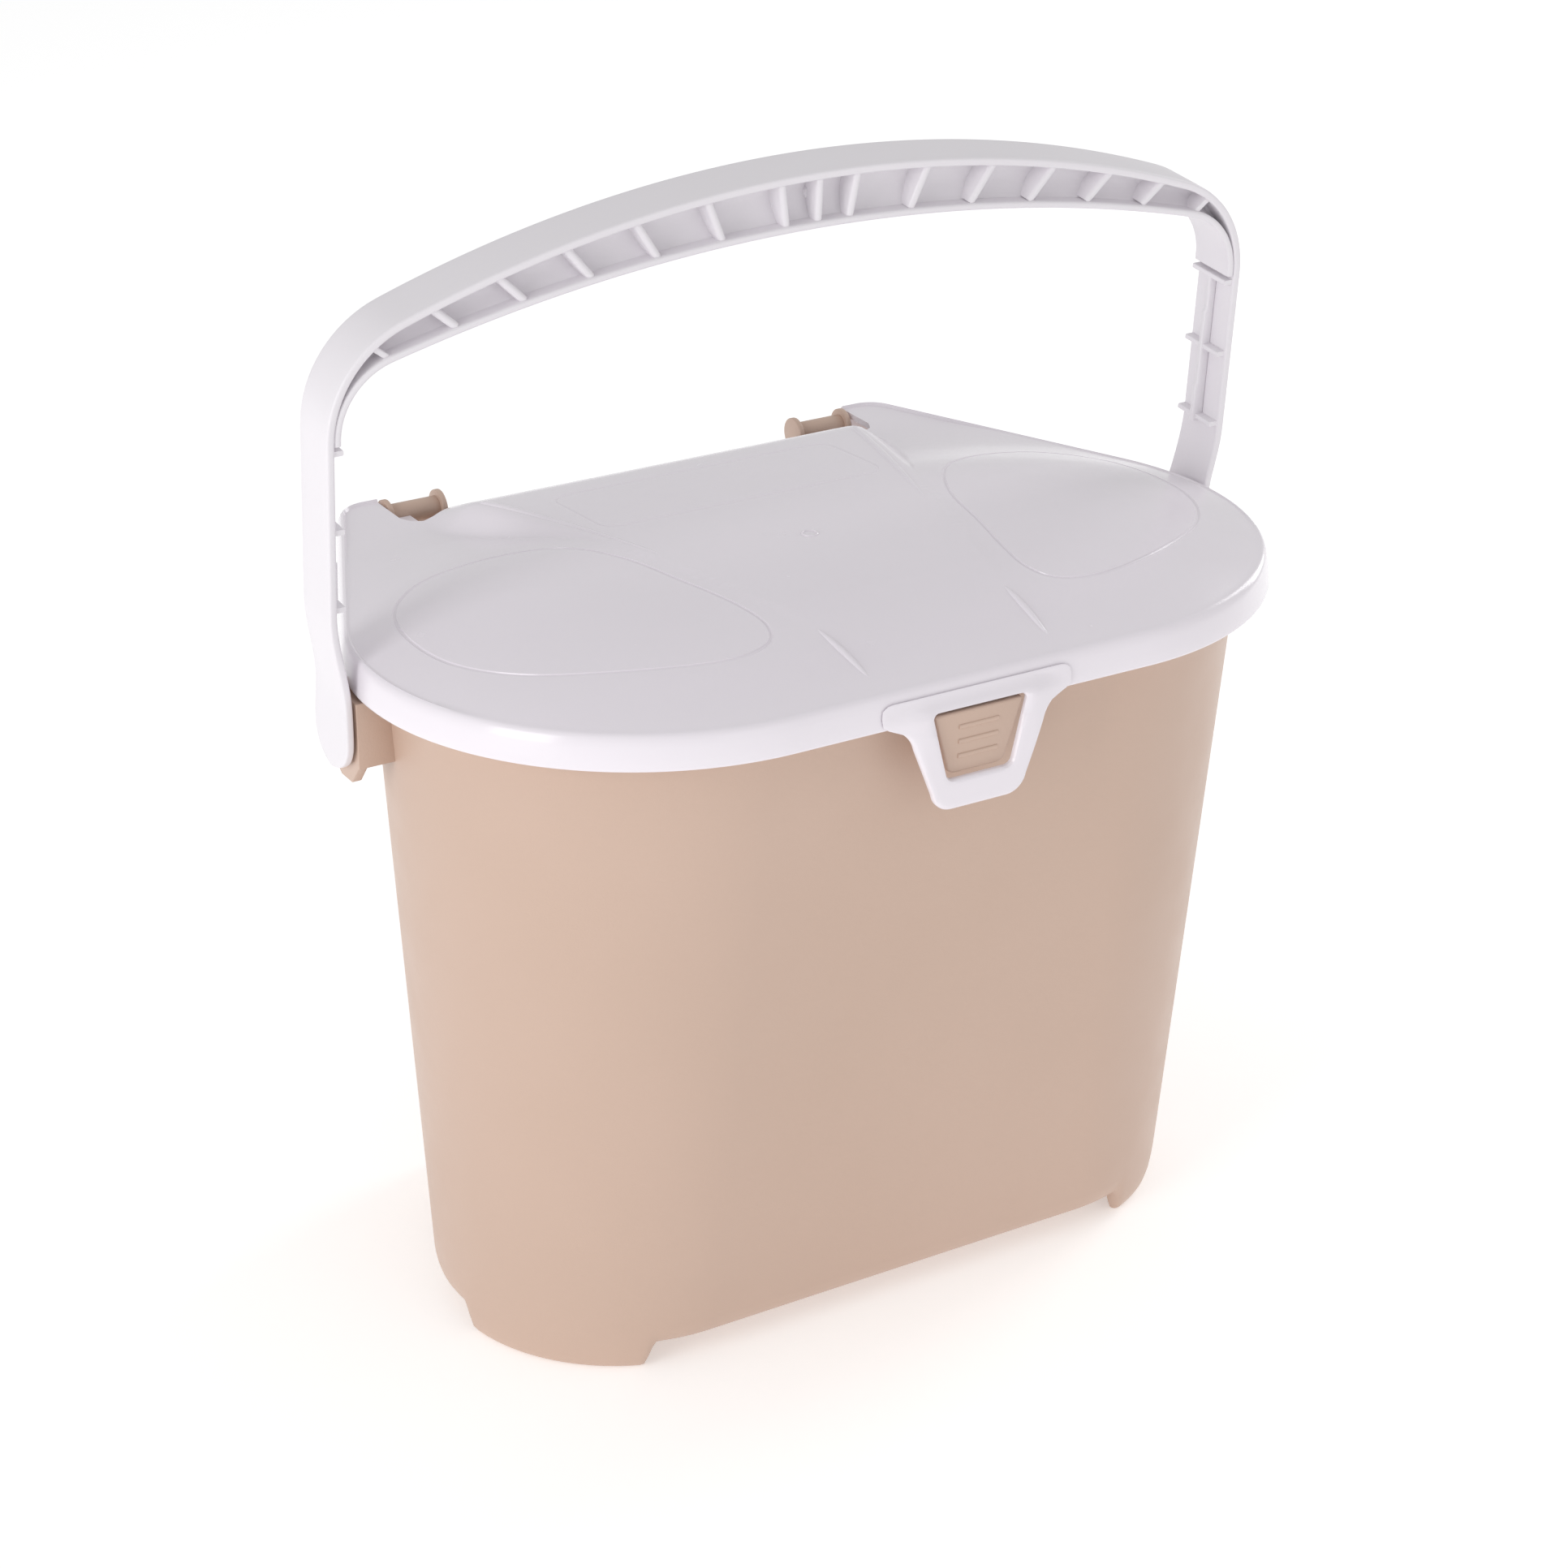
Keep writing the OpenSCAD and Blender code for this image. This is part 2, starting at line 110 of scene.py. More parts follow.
tub_plastic = plastic("beige_tub_plastic", (0.60, 0.437, 0.353), (0.575, 0.417, 0.333),
                      smooth=0.36, rough=0.46, grain_mm=0.9, grain=0.25, ripple=0.05)
lid_plastic = plastic("glossy_lid_plastic", (0.85, 0.805, 0.855), (0.83, 0.785, 0.835),
                      smooth=0.20, rough=0.28, grain_mm=1.6, grain=0.06, ripple=0.045, coat=0.25)
handle_plastic = plastic("white_handle_plastic", (0.82, 0.79, 0.825), (0.80, 0.77, 0.805),
                         smooth=0.30, rough=0.40, grain_mm=1.1, grain=0.15, ripple=0.03)
print("materials:", [m.name for m in (tub_plastic, lid_plastic, handle_plastic)])

# %% [markdown]
# ## From numbers to meshes
#
# Most mouldings here are a stack of closed outlines, like the growth rings of a shell. A helper
# joins such rings with quads and closes both ends with a fan. A second helper takes a copy of a
# mechanical part and rounds its edges, because a moulded edge always has a small radius that
# catches the light. A part whose shape is already right needs nothing more than that.

# %% Mesh helpers
def finish_piece(obj, body, slot, material, *nodes):
    """Smooth shading, a material, and the body that carries the piece."""
    obj.data.materials.clear()
    obj.data.materials.append(material)
    obj.data.shade_smooth()
    obj.data.set_sharp_from_angle(angle=math.radians(38))
    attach(obj, body)
    if nodes:
        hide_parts(*nodes)
    return obj


def object_from_bmesh(name, bm):
    bmesh.ops.recalc_face_normals(bm, faces=bm.faces[:])
    mesh = bpy.data.meshes.new(name)
    bm.to_mesh(mesh)
    bm.free()
    obj = bpy.data.objects.new(name, mesh)
    bpy.context.scene.collection.objects.link(obj)
    return obj


def add_rings(bm, rings, closed_path=False):
    """Joins rings of points, in millimetres, with quads. Open stacks get a fan at each end."""
    rows = [[bm.verts.new(Vector(p) * MM) for p in ring] for ring in rings]
    count = len(rows[0])
    pairs = list(zip(rows, rows[1:]))
    if closed_path:
        pairs.append((rows[-1], rows[0]))
    for low, high in pairs:
        for i in range(count):
            j = (i + 1) % count
            bm.faces.new((low[i], low[j], high[j], high[i]))
    if not closed_path:
        for row in (rows[0], rows[-1]):
            middle = sum((v.co for v in row), Vector()) / count
            hub = bm.verts.new(middle)
            for i in range(count):
                bm.faces.new((row[i], row[(i + 1) % count], hub))


def loft(name, rings, closed_path=False):
    bm = bmesh.new()
    add_rings(bm, rings, closed_path)
    return object_from_bmesh(name, bm)


def plain_mesh(obj, name):
    """Applies an object's modifiers and gives the result as a new object."""
    bpy.context.view_layer.update()
    graph = bpy.context.evaluated_depsgraph_get()
    mesh = bpy.data.meshes.new_from_object(obj.evaluated_get(graph), depsgraph=graph)
    result = bpy.data.objects.new(name, mesh)
    bpy.context.scene.collection.objects.link(result)
    bpy.data.objects.remove(obj)
    return result


def rounded_copy(node, name, width_mm=0.5, segments=2):
    """A copy of a mechanical part, with its flat faces merged and its edges rounded."""
    bm = bmesh.new()
    bm.from_mesh(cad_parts[node].data)
    bmesh.ops.remove_doubles(bm, verts=bm.verts[:], dist=0.00002)
    bmesh.ops.dissolve_limit(bm, angle_limit=math.radians(1.0), verts=bm.verts[:], edges=bm.edges[:])
    copy = object_from_bmesh(name + "_raw", bm)
    bevel = copy.modifiers.new("round", "BEVEL")
    bevel.width = width_mm * MM
    bevel.segments = segments
    bevel.limit_method = "ANGLE"
    bevel.angle_limit = math.radians(40)
    bevel.use_clamp_overlap = True
    return plain_mesh(copy, name)


# %% [markdown]
# ## One outline for tub and lid
#
# Seen from above, tub and lid share an outline: a flat front, two round ends, sides that slant in
# towards a narrower flat rear, and two rounded rear corners. Each stretch is an arc or a straight
# line, so the outline is worked out from six sizes. Every call gives the same number of points, and
# that is what lets rings of different sizes be joined.

# %% The plan outline
FRONT_POINTS = 26
ARC_POINTS = 92
SIDE_POINTS = 36
CORNER_POINTS = 22
REAR_POINTS = 44


def plan_outline(r, cx, cy, side, rear, corner):
    angle = math.radians(side)
    normal = np.array([math.cos(angle), math.sin(angle)])
    touch = np.array([cx, cy]) + r * normal
    yc = rear - corner
    xc = (touch @ normal - corner - yc * normal[1]) / normal[0]
    fronts = [(x, cy - r) for x in np.linspace(0, cx, FRONT_POINTS, endpoint=False)]
    arc = [(cx + r * math.cos(a), cy + r * math.sin(a))
           for a in np.linspace(-math.pi / 2, angle, ARC_POINTS, endpoint=False)]
    corner_start = np.array([xc, yc]) + corner * normal
    slant = [tuple(touch + (corner_start - touch) * t)
             for t in np.linspace(0, 1, SIDE_POINTS, endpoint=False)]
    bend = [(xc + corner * math.cos(a), yc + corner * math.sin(a))
            for a in np.linspace(angle, math.pi / 2, CORNER_POINTS, endpoint=False)]
    rears = [(x, rear) for x in np.linspace(xc, 0, REAR_POINTS)]
    right = fronts + arc + slant + bend + rears
    left = [(-x, y) for x, y in right[-2:0:-1]]
    return np.array(right + left)


def smoothstep(low, high, value):
    t = np.clip((value - low) / (high - low), 0.0, 1.0)
    return t * t * (3.0 - 2.0 * t)


RIM_PLAN = {"r": 89, "cx": 67, "cy": -20, "rear": 109, "corner": 16}
FOOT_PLAN = {"r": 66, "cx": 76, "cy": -14, "rear": 90, "corner": 20}
SIDE_ANGLE = 25
print("outline points:", len(plan_outline(side=SIDE_ANGLE, **RIM_PLAN)))

# %% [markdown]
# ## The tub
#
# The tub leans outwards from foot to rim, so that bins stack and the moulding leaves its tool.
# Its skirt stands on four corner feet, with low gaps between them. All of it is one stack of rings:
# up the outside, over the rim, down the inside and across the floor. The gaps come from lifting
# the lowest rings between the feet, so no cutting is needed.

# %% Tub sizes, in millimetres
RIM_Z = 246.0
FOOT_Z = 8.0
WALL = 2.2
GAP_HEIGHT = 9.6
BLEND_TOP_Z = 17.0
FLOOR_UNDER_Z = 10.2
FLOOR_TOP_Z = 12.4
FRONT_FOOT_X = 98.0
SIDE_FOOT_Y = -22.0
REAR_FOOT_Y = 62.0
REAR_FOOT_X = 72.0
FOOT_STEP = 2.5
FRONT_SIDE_Y = 40
ROUND_END_X = 60


def mix(a, b, t):
    return a + (b - a) * t


def tub_outline(z, inset=0.0):
    t = (z - FOOT_Z) / (RIM_Z - FOOT_Z)
    size = {key: mix(FOOT_PLAN[key], RIM_PLAN[key], t) for key in FOOT_PLAN}
    return plan_outline(size["r"] - inset, size["cx"], size["cy"], SIDE_ANGLE,
                        size["rear"] - inset, size["corner"] - inset)


def gap_lift(points):
    """One between the feet, nought on them, with a short slanted step."""
    x = np.abs(points[:, 0])
    y = points[:, 1]
    front = smoothstep(FRONT_FOOT_X + FOOT_STEP, FRONT_FOOT_X - FOOT_STEP, x) * (y < -FRONT_SIDE_Y)
    rear = smoothstep(REAR_FOOT_X + FOOT_STEP, REAR_FOOT_X - FOOT_STEP, x) * (y > FRONT_SIDE_Y)
    sides = smoothstep(SIDE_FOOT_Y - FOOT_STEP, SIDE_FOOT_Y + FOOT_STEP, y) \
        * smoothstep(REAR_FOOT_Y + FOOT_STEP, REAR_FOOT_Y - FOOT_STEP, y)
    return np.clip(front + rear + sides * (x > ROUND_END_X), 0.0, 1.0)


def ring_at(points, z):
    heights = np.broadcast_to(z, (len(points),))
    return [(x, y, h) for (x, y), h in zip(points, heights)]


def foot_ring(z, inset):
    """A low ring, squeezed upwards where the gaps between the feet are."""
    lift = GAP_HEIGHT * gap_lift(tub_outline(FOOT_Z))
    return ring_at(tub_outline(z, inset), lift + z * (BLEND_TOP_Z - lift) / BLEND_TOP_Z)


# %% Tub rings, from under the floor, round the outside and back down the inside
# Each pair is a height and how far the ring stands in from the wall, or out from it for the lip.
FOOT_ROUND = [(0.3, 5.0), (0.0, 4.2), (0.25, 3.0), (1.0, 1.9), (2.4, 1.0), (5.0, 0.45), (9.0, 0.12),
              (13.0, 0.0)]
LIP_ROUND = [(240.6, 0.2), (241.1, 0.9), (241.4, 2.4), (241.7, 4.6), (242.3, 5.3), (243.5, 5.5),
             (245.0, 5.5), (245.7, 5.1), (246.0, 4.2)]
INNER_EDGE = [(246.0, -1.2), (245.8, -1.9), (245.2, -2.2)]
FLOOR_ROUND = [(19, 0.4), (15.5, 1.6), (13.3, 3.6), (FLOOR_TOP_Z, 7.0), (FLOOR_TOP_Z, 30.0)]
WALL_TOP_Z = 240
INNER_LOW_Z = 24
LIP_END_Y = 40.0

lip_share = smoothstep(LIP_END_Y + 14, LIP_END_Y - 6, tub_outline(RIM_Z)[:, 1])


def lip_ring(z, out):
    """The lip stands out round the front and ends, and fades before the hinges."""
    base = tub_outline(z)
    wide = tub_outline(z, -out)
    share = lip_share[:, None] if out > 0 else np.ones((len(base), 1))
    return ring_at(base + (wide - base) * share, z)


tub_rings = [ring_at(tub_outline(FOOT_Z, inset), FLOOR_UNDER_Z) for inset in (8.0, 5.0)]
tub_rings += [foot_ring(z, inset) for z, inset in FOOT_ROUND]
tub_rings += [ring_at(tub_outline(z), z) for z in np.linspace(BLEND_TOP_Z, WALL_TOP_Z, 24)]
tub_rings += [lip_ring(z, out) for z, out in LIP_ROUND + INNER_EDGE]
tub_rings += [ring_at(tub_outline(z, WALL), z) for z in np.linspace(WALL_TOP_Z, INNER_LOW_Z, 14)]
tub_rings += [ring_at(tub_outline(z, WALL + inset), z) for z, inset in FLOOR_ROUND]
tub = loft("tub_shell", tub_rings)
finish_piece(tub, "tub", "tub_plastic", tub_plastic, "tub")
print("tub faces:", len(tub.data.polygons))

# %% [markdown]
# ## The lid's surface
#
# The lid is a low dome with a flatter panel down its middle. Beside the panel the surface falls
# away to the two hinge notches, and behind the panel it slopes down to the hinge line. A height
# function of x and y is the clearest way to say that, because every part of the surface, and each
# groove or ridge on it, can ask the same function where it lies.

# %% Lid sizes and its height function
SKIRT_Z = 243.0
SHOULDER_Z = 255.0
LID_WALL = 2.2
LID_EDGE = (99.5, 67.0, -21.0, 24.0, 122.5, 14.0)
SHOULDER_INSET = 3.6
DOME_RISE = 13.2
DOME_REACH = 80.0
PANEL_CREST_Y = -17.0
PANEL_REAR_Y = 79.0
PANEL_REAR_HALF = 77.0
PANEL_FRONT_HALF = 41.0
REAR_SLOPE = 0.45
MID_REAR_Y = 114.3
MID_SHOULDER_Z = 249.3
NOTCH_IN_X = 72.3
NOTCH_OUT_X = 97.0
CREST_BEND = 0.00052
REAR_LIFT = 0.6
SIDE_DROP = 0.8
SIDE_STEP = 0.5
FOLD_FRONT = 2.2
FOLD_GROWTH = 13.0


def lid_outline(inset):
    """The lid's edge, with the stretch between the hinges pulled forward."""
    r, cx, cy, side, rear, corner = LID_EDGE
    points = plan_outline(r - inset, cx, cy, side, rear - inset, corner - inset)
    pull = mid_rear_share(points)
    points[:, 1] = mix(points[:, 1], MID_REAR_Y - inset, pull)
    return points


def mid_rear_share(points):
    x = np.abs(points[:, 0])
    return smoothstep(NOTCH_OUT_X - 3, NOTCH_IN_X + 3, x) * (points[:, 1] > 60)


def edge_distance(x, y):
    """How far a point lies inside the shoulder line."""
    r, cx, cy, side, rear, corner = LID_EDGE
    angle = math.radians(side)
    ax = np.abs(x)
    out_x = ax - cx
    ends = np.hypot(np.maximum(out_x, 0.0), y - cy)
    slanted = out_x * math.cos(angle) + (y - cy) * math.sin(angle)
    behind = np.arctan2(y - cy, np.maximum(out_x, 1e-6)) > angle
    reach = np.where(out_x < 0, np.abs(y - cy), np.where(behind, slanted, ends))
    reach = np.where(behind, np.maximum(slanted, 0.0), reach)
    return np.minimum(r - reach, rear - y) - SHOULDER_INSET


def smooth_min(a, b, width):
    return 0.5 * (a + b - np.sqrt((a - b) ** 2 + width * width))


def lid_height(x, y):
    inward = np.clip(edge_distance(x, y) / DOME_REACH, 0.0, 1.0)
    dome = DOME_RISE * (1.0 - (1.0 - inward) ** 2)
    sides = SHOULDER_Z - SIDE_DROP * smoothstep(60, 95, y) + dome * (1.0 - smoothstep(4, 92, y))
    crest = SHOULDER_Z + DOME_RISE - CREST_BEND * (y - PANEL_CREST_Y) ** 2
    slope = crest_at_rear + REAR_LIFT - REAR_SLOPE * (y - PANEL_REAR_Y)
    panel = smooth_min(crest, slope, 1.6)
    half = PANEL_REAR_HALF - (PANEL_REAR_Y - np.minimum(y, PANEL_REAR_Y)) \
        * (PANEL_REAR_HALF - PANEL_FRONT_HALF) / (PANEL_REAR_Y + 62.0)
    fold = FOLD_FRONT + FOLD_GROWTH * smoothstep(0, PANEL_REAR_Y, y)
    beside = smoothstep(0.0, 1.0, (np.abs(x) - half) / fold)
    behind_front = smoothstep(-75, -45, y)
    sides = sides - SIDE_STEP * behind_front
    middle = np.where(y > 0, panel, np.minimum(panel, sides + SIDE_STEP))
    outer = sides + SIDE_STEP * behind_front * (1 - beside)
    return mix(outer, middle, (1.0 - beside) * smoothstep(-90, -40, y))


crest_at_rear = SHOULDER_Z + DOME_RISE - CREST_BEND * (PANEL_REAR_Y - PANEL_CREST_Y) ** 2
print("dome centre height: %.1f mm" % lid_height(np.array([0.0]), np.array([PANEL_CREST_Y]))[0])

# %% [markdown]
# ## The lid's shell
#
# The shell is again a stack of rings: out along the underside, down inside the skirt, up its
# outside, round the shoulder and in over the dome. Rings on the dome shrink towards one centre
# point and take their heights from the function above.

# %% Lid rings
DOME_CENTRE = np.array([0.0, -6.0])
TOP_RINGS = 84
UNDER_RINGS = 30
SKIRT_OUT = [(0.5, -0.1), (0.12, 0.25), (0.0, 0.9), (0.35, 4.0), (0.8, 7.6), (1.15, 9.4), (1.6, 10.6),
             (2.2, 11.4), (2.9, 11.85)]
SKIRT_IN = [(5.6, 9.6), (4.2, 8.8), (3.4, 7.4), (2.9, 5.0), (2.4, 0.6), (2.0, 0.05), (1.4, -0.1)]
shoulder = lid_outline(SHOULDER_INSET)
mid_share = mid_rear_share(shoulder)
shoulder_top = mix(SHOULDER_Z, MID_SHOULDER_Z, mid_share)


def skirt_ring(inset, rise):
    """A ring of the skirt. Rise is measured where the skirt has its full height."""
    scale = (shoulder_top - SKIRT_Z) / (SHOULDER_Z - SKIRT_Z)
    return ring_at(lid_outline(inset), SKIRT_Z + rise * scale)


def dome_ring(edge, share, drop):
    points = DOME_CENTRE + (edge - DOME_CENTRE) * share
    height = lid_height(points[:, 0], points[:, 1])
    blend = smoothstep(0.90, 1.0, share)
    rim = mix(height, shoulder_top, blend * (mid_share > 0.0))
    return ring_at(points, rim - drop)


UNDER_INSET = 6.2
under_edge = lid_outline(UNDER_INSET)
lid_rings = [dome_ring(under_edge, s, LID_WALL) for s in np.linspace(0.02, 0.985, UNDER_RINGS)]
lid_rings += [skirt_ring(inset, rise) for inset, rise in SKIRT_IN + SKIRT_OUT]
lid_rings += [dome_ring(shoulder, s, 0.0) for s in np.linspace(1.0, 0.01, TOP_RINGS)]
lid = loft("lid_blank", lid_rings)
print("lid faces before cutting:", len(lid.data.polygons))

# %% [markdown]
# ## Grooves and notches
#
# Two rounded triangles and a faint rectangle are engraved in the lid, and two notches at the back
# let the hinge spools through. Grooves this fine would need a very dense mesh if they were pushed
# in point by point. A boolean cut keeps them crisp: a thin tube is laid along each line, half sunk
# in the surface, and taken away.

# %% Groove lines and the tubes that cut them
LOOP_POINTS = [(50, -74), (51, -58), (57, -32), (64, -4), (78, 18), (100, 29), (124, 28), (141, 12),
               (147, -12), (144, -38), (129, -61), (104, -77), (76, -86), (57, -84)]
GROOVE_RADIUS = 0.85
GROOVE_LIFT = 0.35


def closed_spline(points, steps):
    """A smooth closed line through the points."""
    p = np.array(points, dtype=float)
    line = []
    for i in range(len(p)):
        a, b, c, d = (p[(i + k - 1) % len(p)] for k in range(4))
        for t in np.linspace(0, 1, steps, endpoint=False):
            line.append(0.5 * (2 * b + (c - a) * t + (2 * a - 5 * b + 4 * c - d) * t ** 2
                               + (3 * b - a - 3 * c + d) * t ** 3))
    return np.array(line)


def rounded_rectangle(half_x, low_y, high_y, corner, steps=8, side_steps=20):
    line = []
    centres = [(half_x - corner, low_y + corner, -90), (half_x - corner, high_y - corner, 0),
               (corner - half_x, high_y - corner, 90), (corner - half_x, low_y + corner, 180)]
    for k, (x, y, start) in enumerate(centres):
        bend = [(x + corner * math.cos(math.radians(start + 90 * i / steps)),
                 y + corner * math.sin(math.radians(start + 90 * i / steps))) for i in range(steps + 1)]
        nx, ny, turn = centres[(k + 1) % 4]
        end = (nx + corner * math.cos(math.radians(turn)), ny + corner * math.sin(math.radians(turn)))
        line += bend
        line += [tuple(mix(np.array(bend[-1]), np.array(end), i / side_steps)) for i in range(1, side_steps)]
    return np.array(line)


def groove_rings(line, radius, lift, sides=8):
    """Rings of a tube that follows a line over the lid."""
    ahead = np.roll(line, -1, axis=0) - np.roll(line, 1, axis=0)
    ahead /= np.linalg.norm(ahead, axis=1)[:, None]
    heights = lid_height(line[:, 0], line[:, 1]) + lift
    rings = []
    for (x, y), (tx, ty), h in zip(line, ahead, heights):
        turns = [2 * math.pi * k / sides for k in range(sides)]
        rings.append([(x - ty * radius * math.cos(a), y + tx * radius * math.cos(a), h + radius * math.sin(a))
                      for a in turns])
    return rings


right_loop = closed_spline(LOOP_POINTS, 18)
left_loop = right_loop * np.array([-1.0, 1.0])
panel_frame = rounded_rectangle(56, 24, 66, 7)
cutter = bmesh.new()
for line, radius, lift in [(right_loop, GROOVE_RADIUS, GROOVE_LIFT), (left_loop, GROOVE_RADIUS, GROOVE_LIFT),
                           (panel_frame, 0.7, 0.5)]:
    add_rings(cutter, groove_rings(line, radius, lift), closed_path=True)
print("groove length: %.0f mm" % sum(np.linalg.norm(np.roll(right_loop, -1, axis=0) - right_loop, axis=1)))

# %% Notch blocks, and the relief behind the tongue's window
NOTCH = [(NOTCH_IN_X, 140), (NOTCH_IN_X, 101), (76, 98), (86.5, 94.6), (91, 94.2), (95, 96.5),
         (NOTCH_OUT_X, 101), (NOTCH_OUT_X, 140)]
RELIEF = [(-20, -130), (20, -130), (20, -111), (-20, -111)]
CUT_LOW_Z = 235
NOTCH_TOP_Z = 270
RELIEF_TOP_Z = 247


def prism(outline, low, high):
    return [[(x, y, low) for x, y in outline], [(x, y, high) for x, y in outline]]


for side in (-1, 1):
    add_rings(cutter, prism([(side * x, y) for x, y in NOTCH], CUT_LOW_Z, NOTCH_TOP_Z))
add_rings(cutter, prism(RELIEF, CUT_LOW_Z, RELIEF_TOP_Z))
cut_tool = object_from_bmesh("cut_tool", cutter)
cut = lid.modifiers.new("cut", "BOOLEAN")
cut.operation = "DIFFERENCE"
cut.solver = "MANIFOLD"
cut.object = cut_tool
lid = plain_mesh(lid, "lid_shell")
bpy.data.objects.remove(cut_tool)
finish_piece(lid, "lid", "lid_plastic", lid_plastic, "lid")
print("lid faces after cutting:", len(lid.data.polygons))

# %% [markdown]
# ## Small features on the lid
#
# Two short fins run from the dome down to the front edge and stiffen the root of the tongue. A thin
# bead sharpens the fold on each side of the panel, which is too fine for the rings of the dome. The
# panel also carries the little ring that a moulding gate leaves. Each is a small closed body, half
# sunk in the lid, which is how a toolmaker adds such a detail too: as an insert in the mould.

# %% Fins, panel edges and the gate mark
FIN_BACK = (36.0, -80.0)
FIN_FRONT = (34.0, -110.5)
FIN_HALF_WIDTH = 1.3
FIN_RISE = 0.9
FIN_SUNK = 0.5
BEAD_BACK = (PANEL_REAR_HALF - 0.6, PANEL_REAR_Y + 0.5)
BEAD_FRONT = (50.5, -14.0)
BEAD_HALF_WIDTH = 1.7
BEAD_RISE = 0.7
BEAD_SUNK = 0.7
GATE_Y = -17.0
GATE_RING = (2.6, 0.45)
ROUND_TURNS = np.linspace(0, 2 * math.pi, 12, endpoint=False)


def ridge_rings(side, back, front, swells, half_width, rise, sunk):
    """A ridge over the lid from back to front. Each swell is its thickness there, as a share."""
    rings = []
    for t, swell in zip(np.linspace(0.0, 1.0, len(swells)), swells):
        x = side * mix(back[0], front[0], t)
        y = mix(back[1], front[1], t)
        z = float(lid_height(np.array([x]), np.array([y]))[0])
        wide = half_width * swell
        tall = (rise + sunk) * swell
        rings.append([(x + wide * math.cos(a), y, z - sunk + tall * math.sin(a)) for a in ROUND_TURNS])
    return rings


def torus_rings(x, y, z, major, minor, steps=40, sides=10):
    rings = []
    for k in range(steps):
        a = 2 * math.pi * k / steps
        rings.append([])
        for b in np.linspace(0, 2 * math.pi, sides, endpoint=False):
            reach = major + minor * math.cos(b)
            rings[-1].append((x + reach * math.cos(a), y + reach * math.sin(a), z + minor * math.sin(b)))
    return rings


fin_swells = [math.sin(math.pi * min(max(t, 0.02), 0.98)) ** 0.5 for t in np.linspace(0.0, 1.0, 26)]
bead_swells = [(1.0 - t) ** 0.25 * min(1.0, 0.3 + t / 0.04) + 0.03 for t in np.linspace(0.0, 1.0, 60)]
for side, word in ((-1, "left"), (1, "right")):
    fin = loft("lid_fin_" + word, ridge_rings(side, FIN_BACK, FIN_FRONT, fin_swells,
                                                FIN_HALF_WIDTH, FIN_RISE, FIN_SUNK))
    finish_piece(fin, "lid", "lid_plastic", lid_plastic)
    bead = loft("lid_panel_edge_" + word, ridge_rings(side, BEAD_BACK, BEAD_FRONT, bead_swells,
                                                        BEAD_HALF_WIDTH, BEAD_RISE, BEAD_SUNK))
    finish_piece(bead, "lid", "lid_plastic", lid_plastic)
gate_z = float(lid_height(np.array([0.0]), np.array([GATE_Y]))[0])
gate = loft("lid_gate_mark", torus_rings(0.0, GATE_Y, gate_z, *GATE_RING), closed_path=True)
finish_piece(gate, "lid", "lid_plastic", lid_plastic)
print("fins, panel edges and gate mark made")

# %% [markdown]
# ## The tongue
#
# The tongue hangs from the front edge of the lid and snaps over a boss on the tub. Seen from the
# front it is a frame round a window, with hollow curves where it flows into the skirt. A frame
# is a loop, so its cross-section, a rounded bar, is carried round the loop from the outer outline
# to the window. The bar thins out at its top and at its wing tips, where it meets the skirt.

# %% Tongue outline, window and bar
TONGUE_FRONT_Y = -123.3
TONGUE_BACK_Y = -120.8
TONGUE_TOP_Z = 251.4
TONGUE_LOW_Z = 211.0
WINDOW_TOP_Z = 245.6
WINDOW_LOW_Z = 221.5
FLARE_R = 10.6
CORNER_R = 7.4
THIN_EDGE = 0.4
BACK_LEAN = 0.7
RING_SHARES = [0.0, 0.02, 0.07, 0.16, 0.3, 0.5, 0.7, 0.84, 0.93, 0.98, 1.0]
LOOP_STEPS = 240


def resample(points, count):
    """Spreads a number of points evenly along a closed line."""
    p = np.vstack([points, points[:1]])
    lengths = np.concatenate([[0], np.cumsum(np.linalg.norm(np.diff(p, axis=0), axis=1))])
    at = np.linspace(0, lengths[-1], count, endpoint=False)
    return np.column_stack([np.interp(at, lengths, p[:, 0]), np.interp(at, lengths, p[:, 1])])


def bend(cx, cz, r, start, end, steps=14):
    return [(cx + r * math.cos(math.radians(a)), cz + r * math.sin(math.radians(a)))
            for a in np.linspace(start, end, steps)]


def mirrored_loop(right_side):
    """Closes a right-hand side, listed from the top down, with its mirror image."""
    return np.array(right_side + [(-x, z) for x, z in reversed(right_side)])


outer_side = [(0.1, TONGUE_TOP_Z), (33, TONGUE_TOP_Z), (35.5, 250.0), (36, 247.5), (35.5, SKIRT_Z + 0.2)]
outer_side += bend(35.0, SKIRT_Z - FLARE_R, FLARE_R, 92, 168)
outer_side += bend(10.6, TONGUE_LOW_Z + CORNER_R, CORNER_R, -8, -90)
outer_side += [(0.1, TONGUE_LOW_Z)]
window_side = [(0.1, WINDOW_TOP_Z)] + bend(15.6, WINDOW_TOP_Z - 2.0, 2.0, 90, 5)
window_side += bend(9.8, WINDOW_LOW_Z + 3.1, 3.1, -8, -90) + [(0.1, WINDOW_LOW_Z)]
tongue_outer = mirrored_loop(outer_side)
tongue_window = mirrored_loop(window_side)


def ray_points(loop, count):
    """Points where evenly turned rays from the window's middle meet a loop."""
    dense = resample(loop, 4000)
    middle = np.array([0.0, 234.0])
    angles = np.unwrap(np.arctan2(dense[:, 1] - middle[1], dense[:, 0] - middle[0]))
    order = np.argsort(angles % (2 * math.pi))
    wanted = np.linspace(0, 2 * math.pi, count, endpoint=False)
    wrapped = (angles % (2 * math.pi))[order]
    x = np.interp(wanted, wrapped, dense[order, 0], period=2 * math.pi)
    z = np.interp(wanted, wrapped, dense[order, 1], period=2 * math.pi)
    return np.column_stack([x, z])


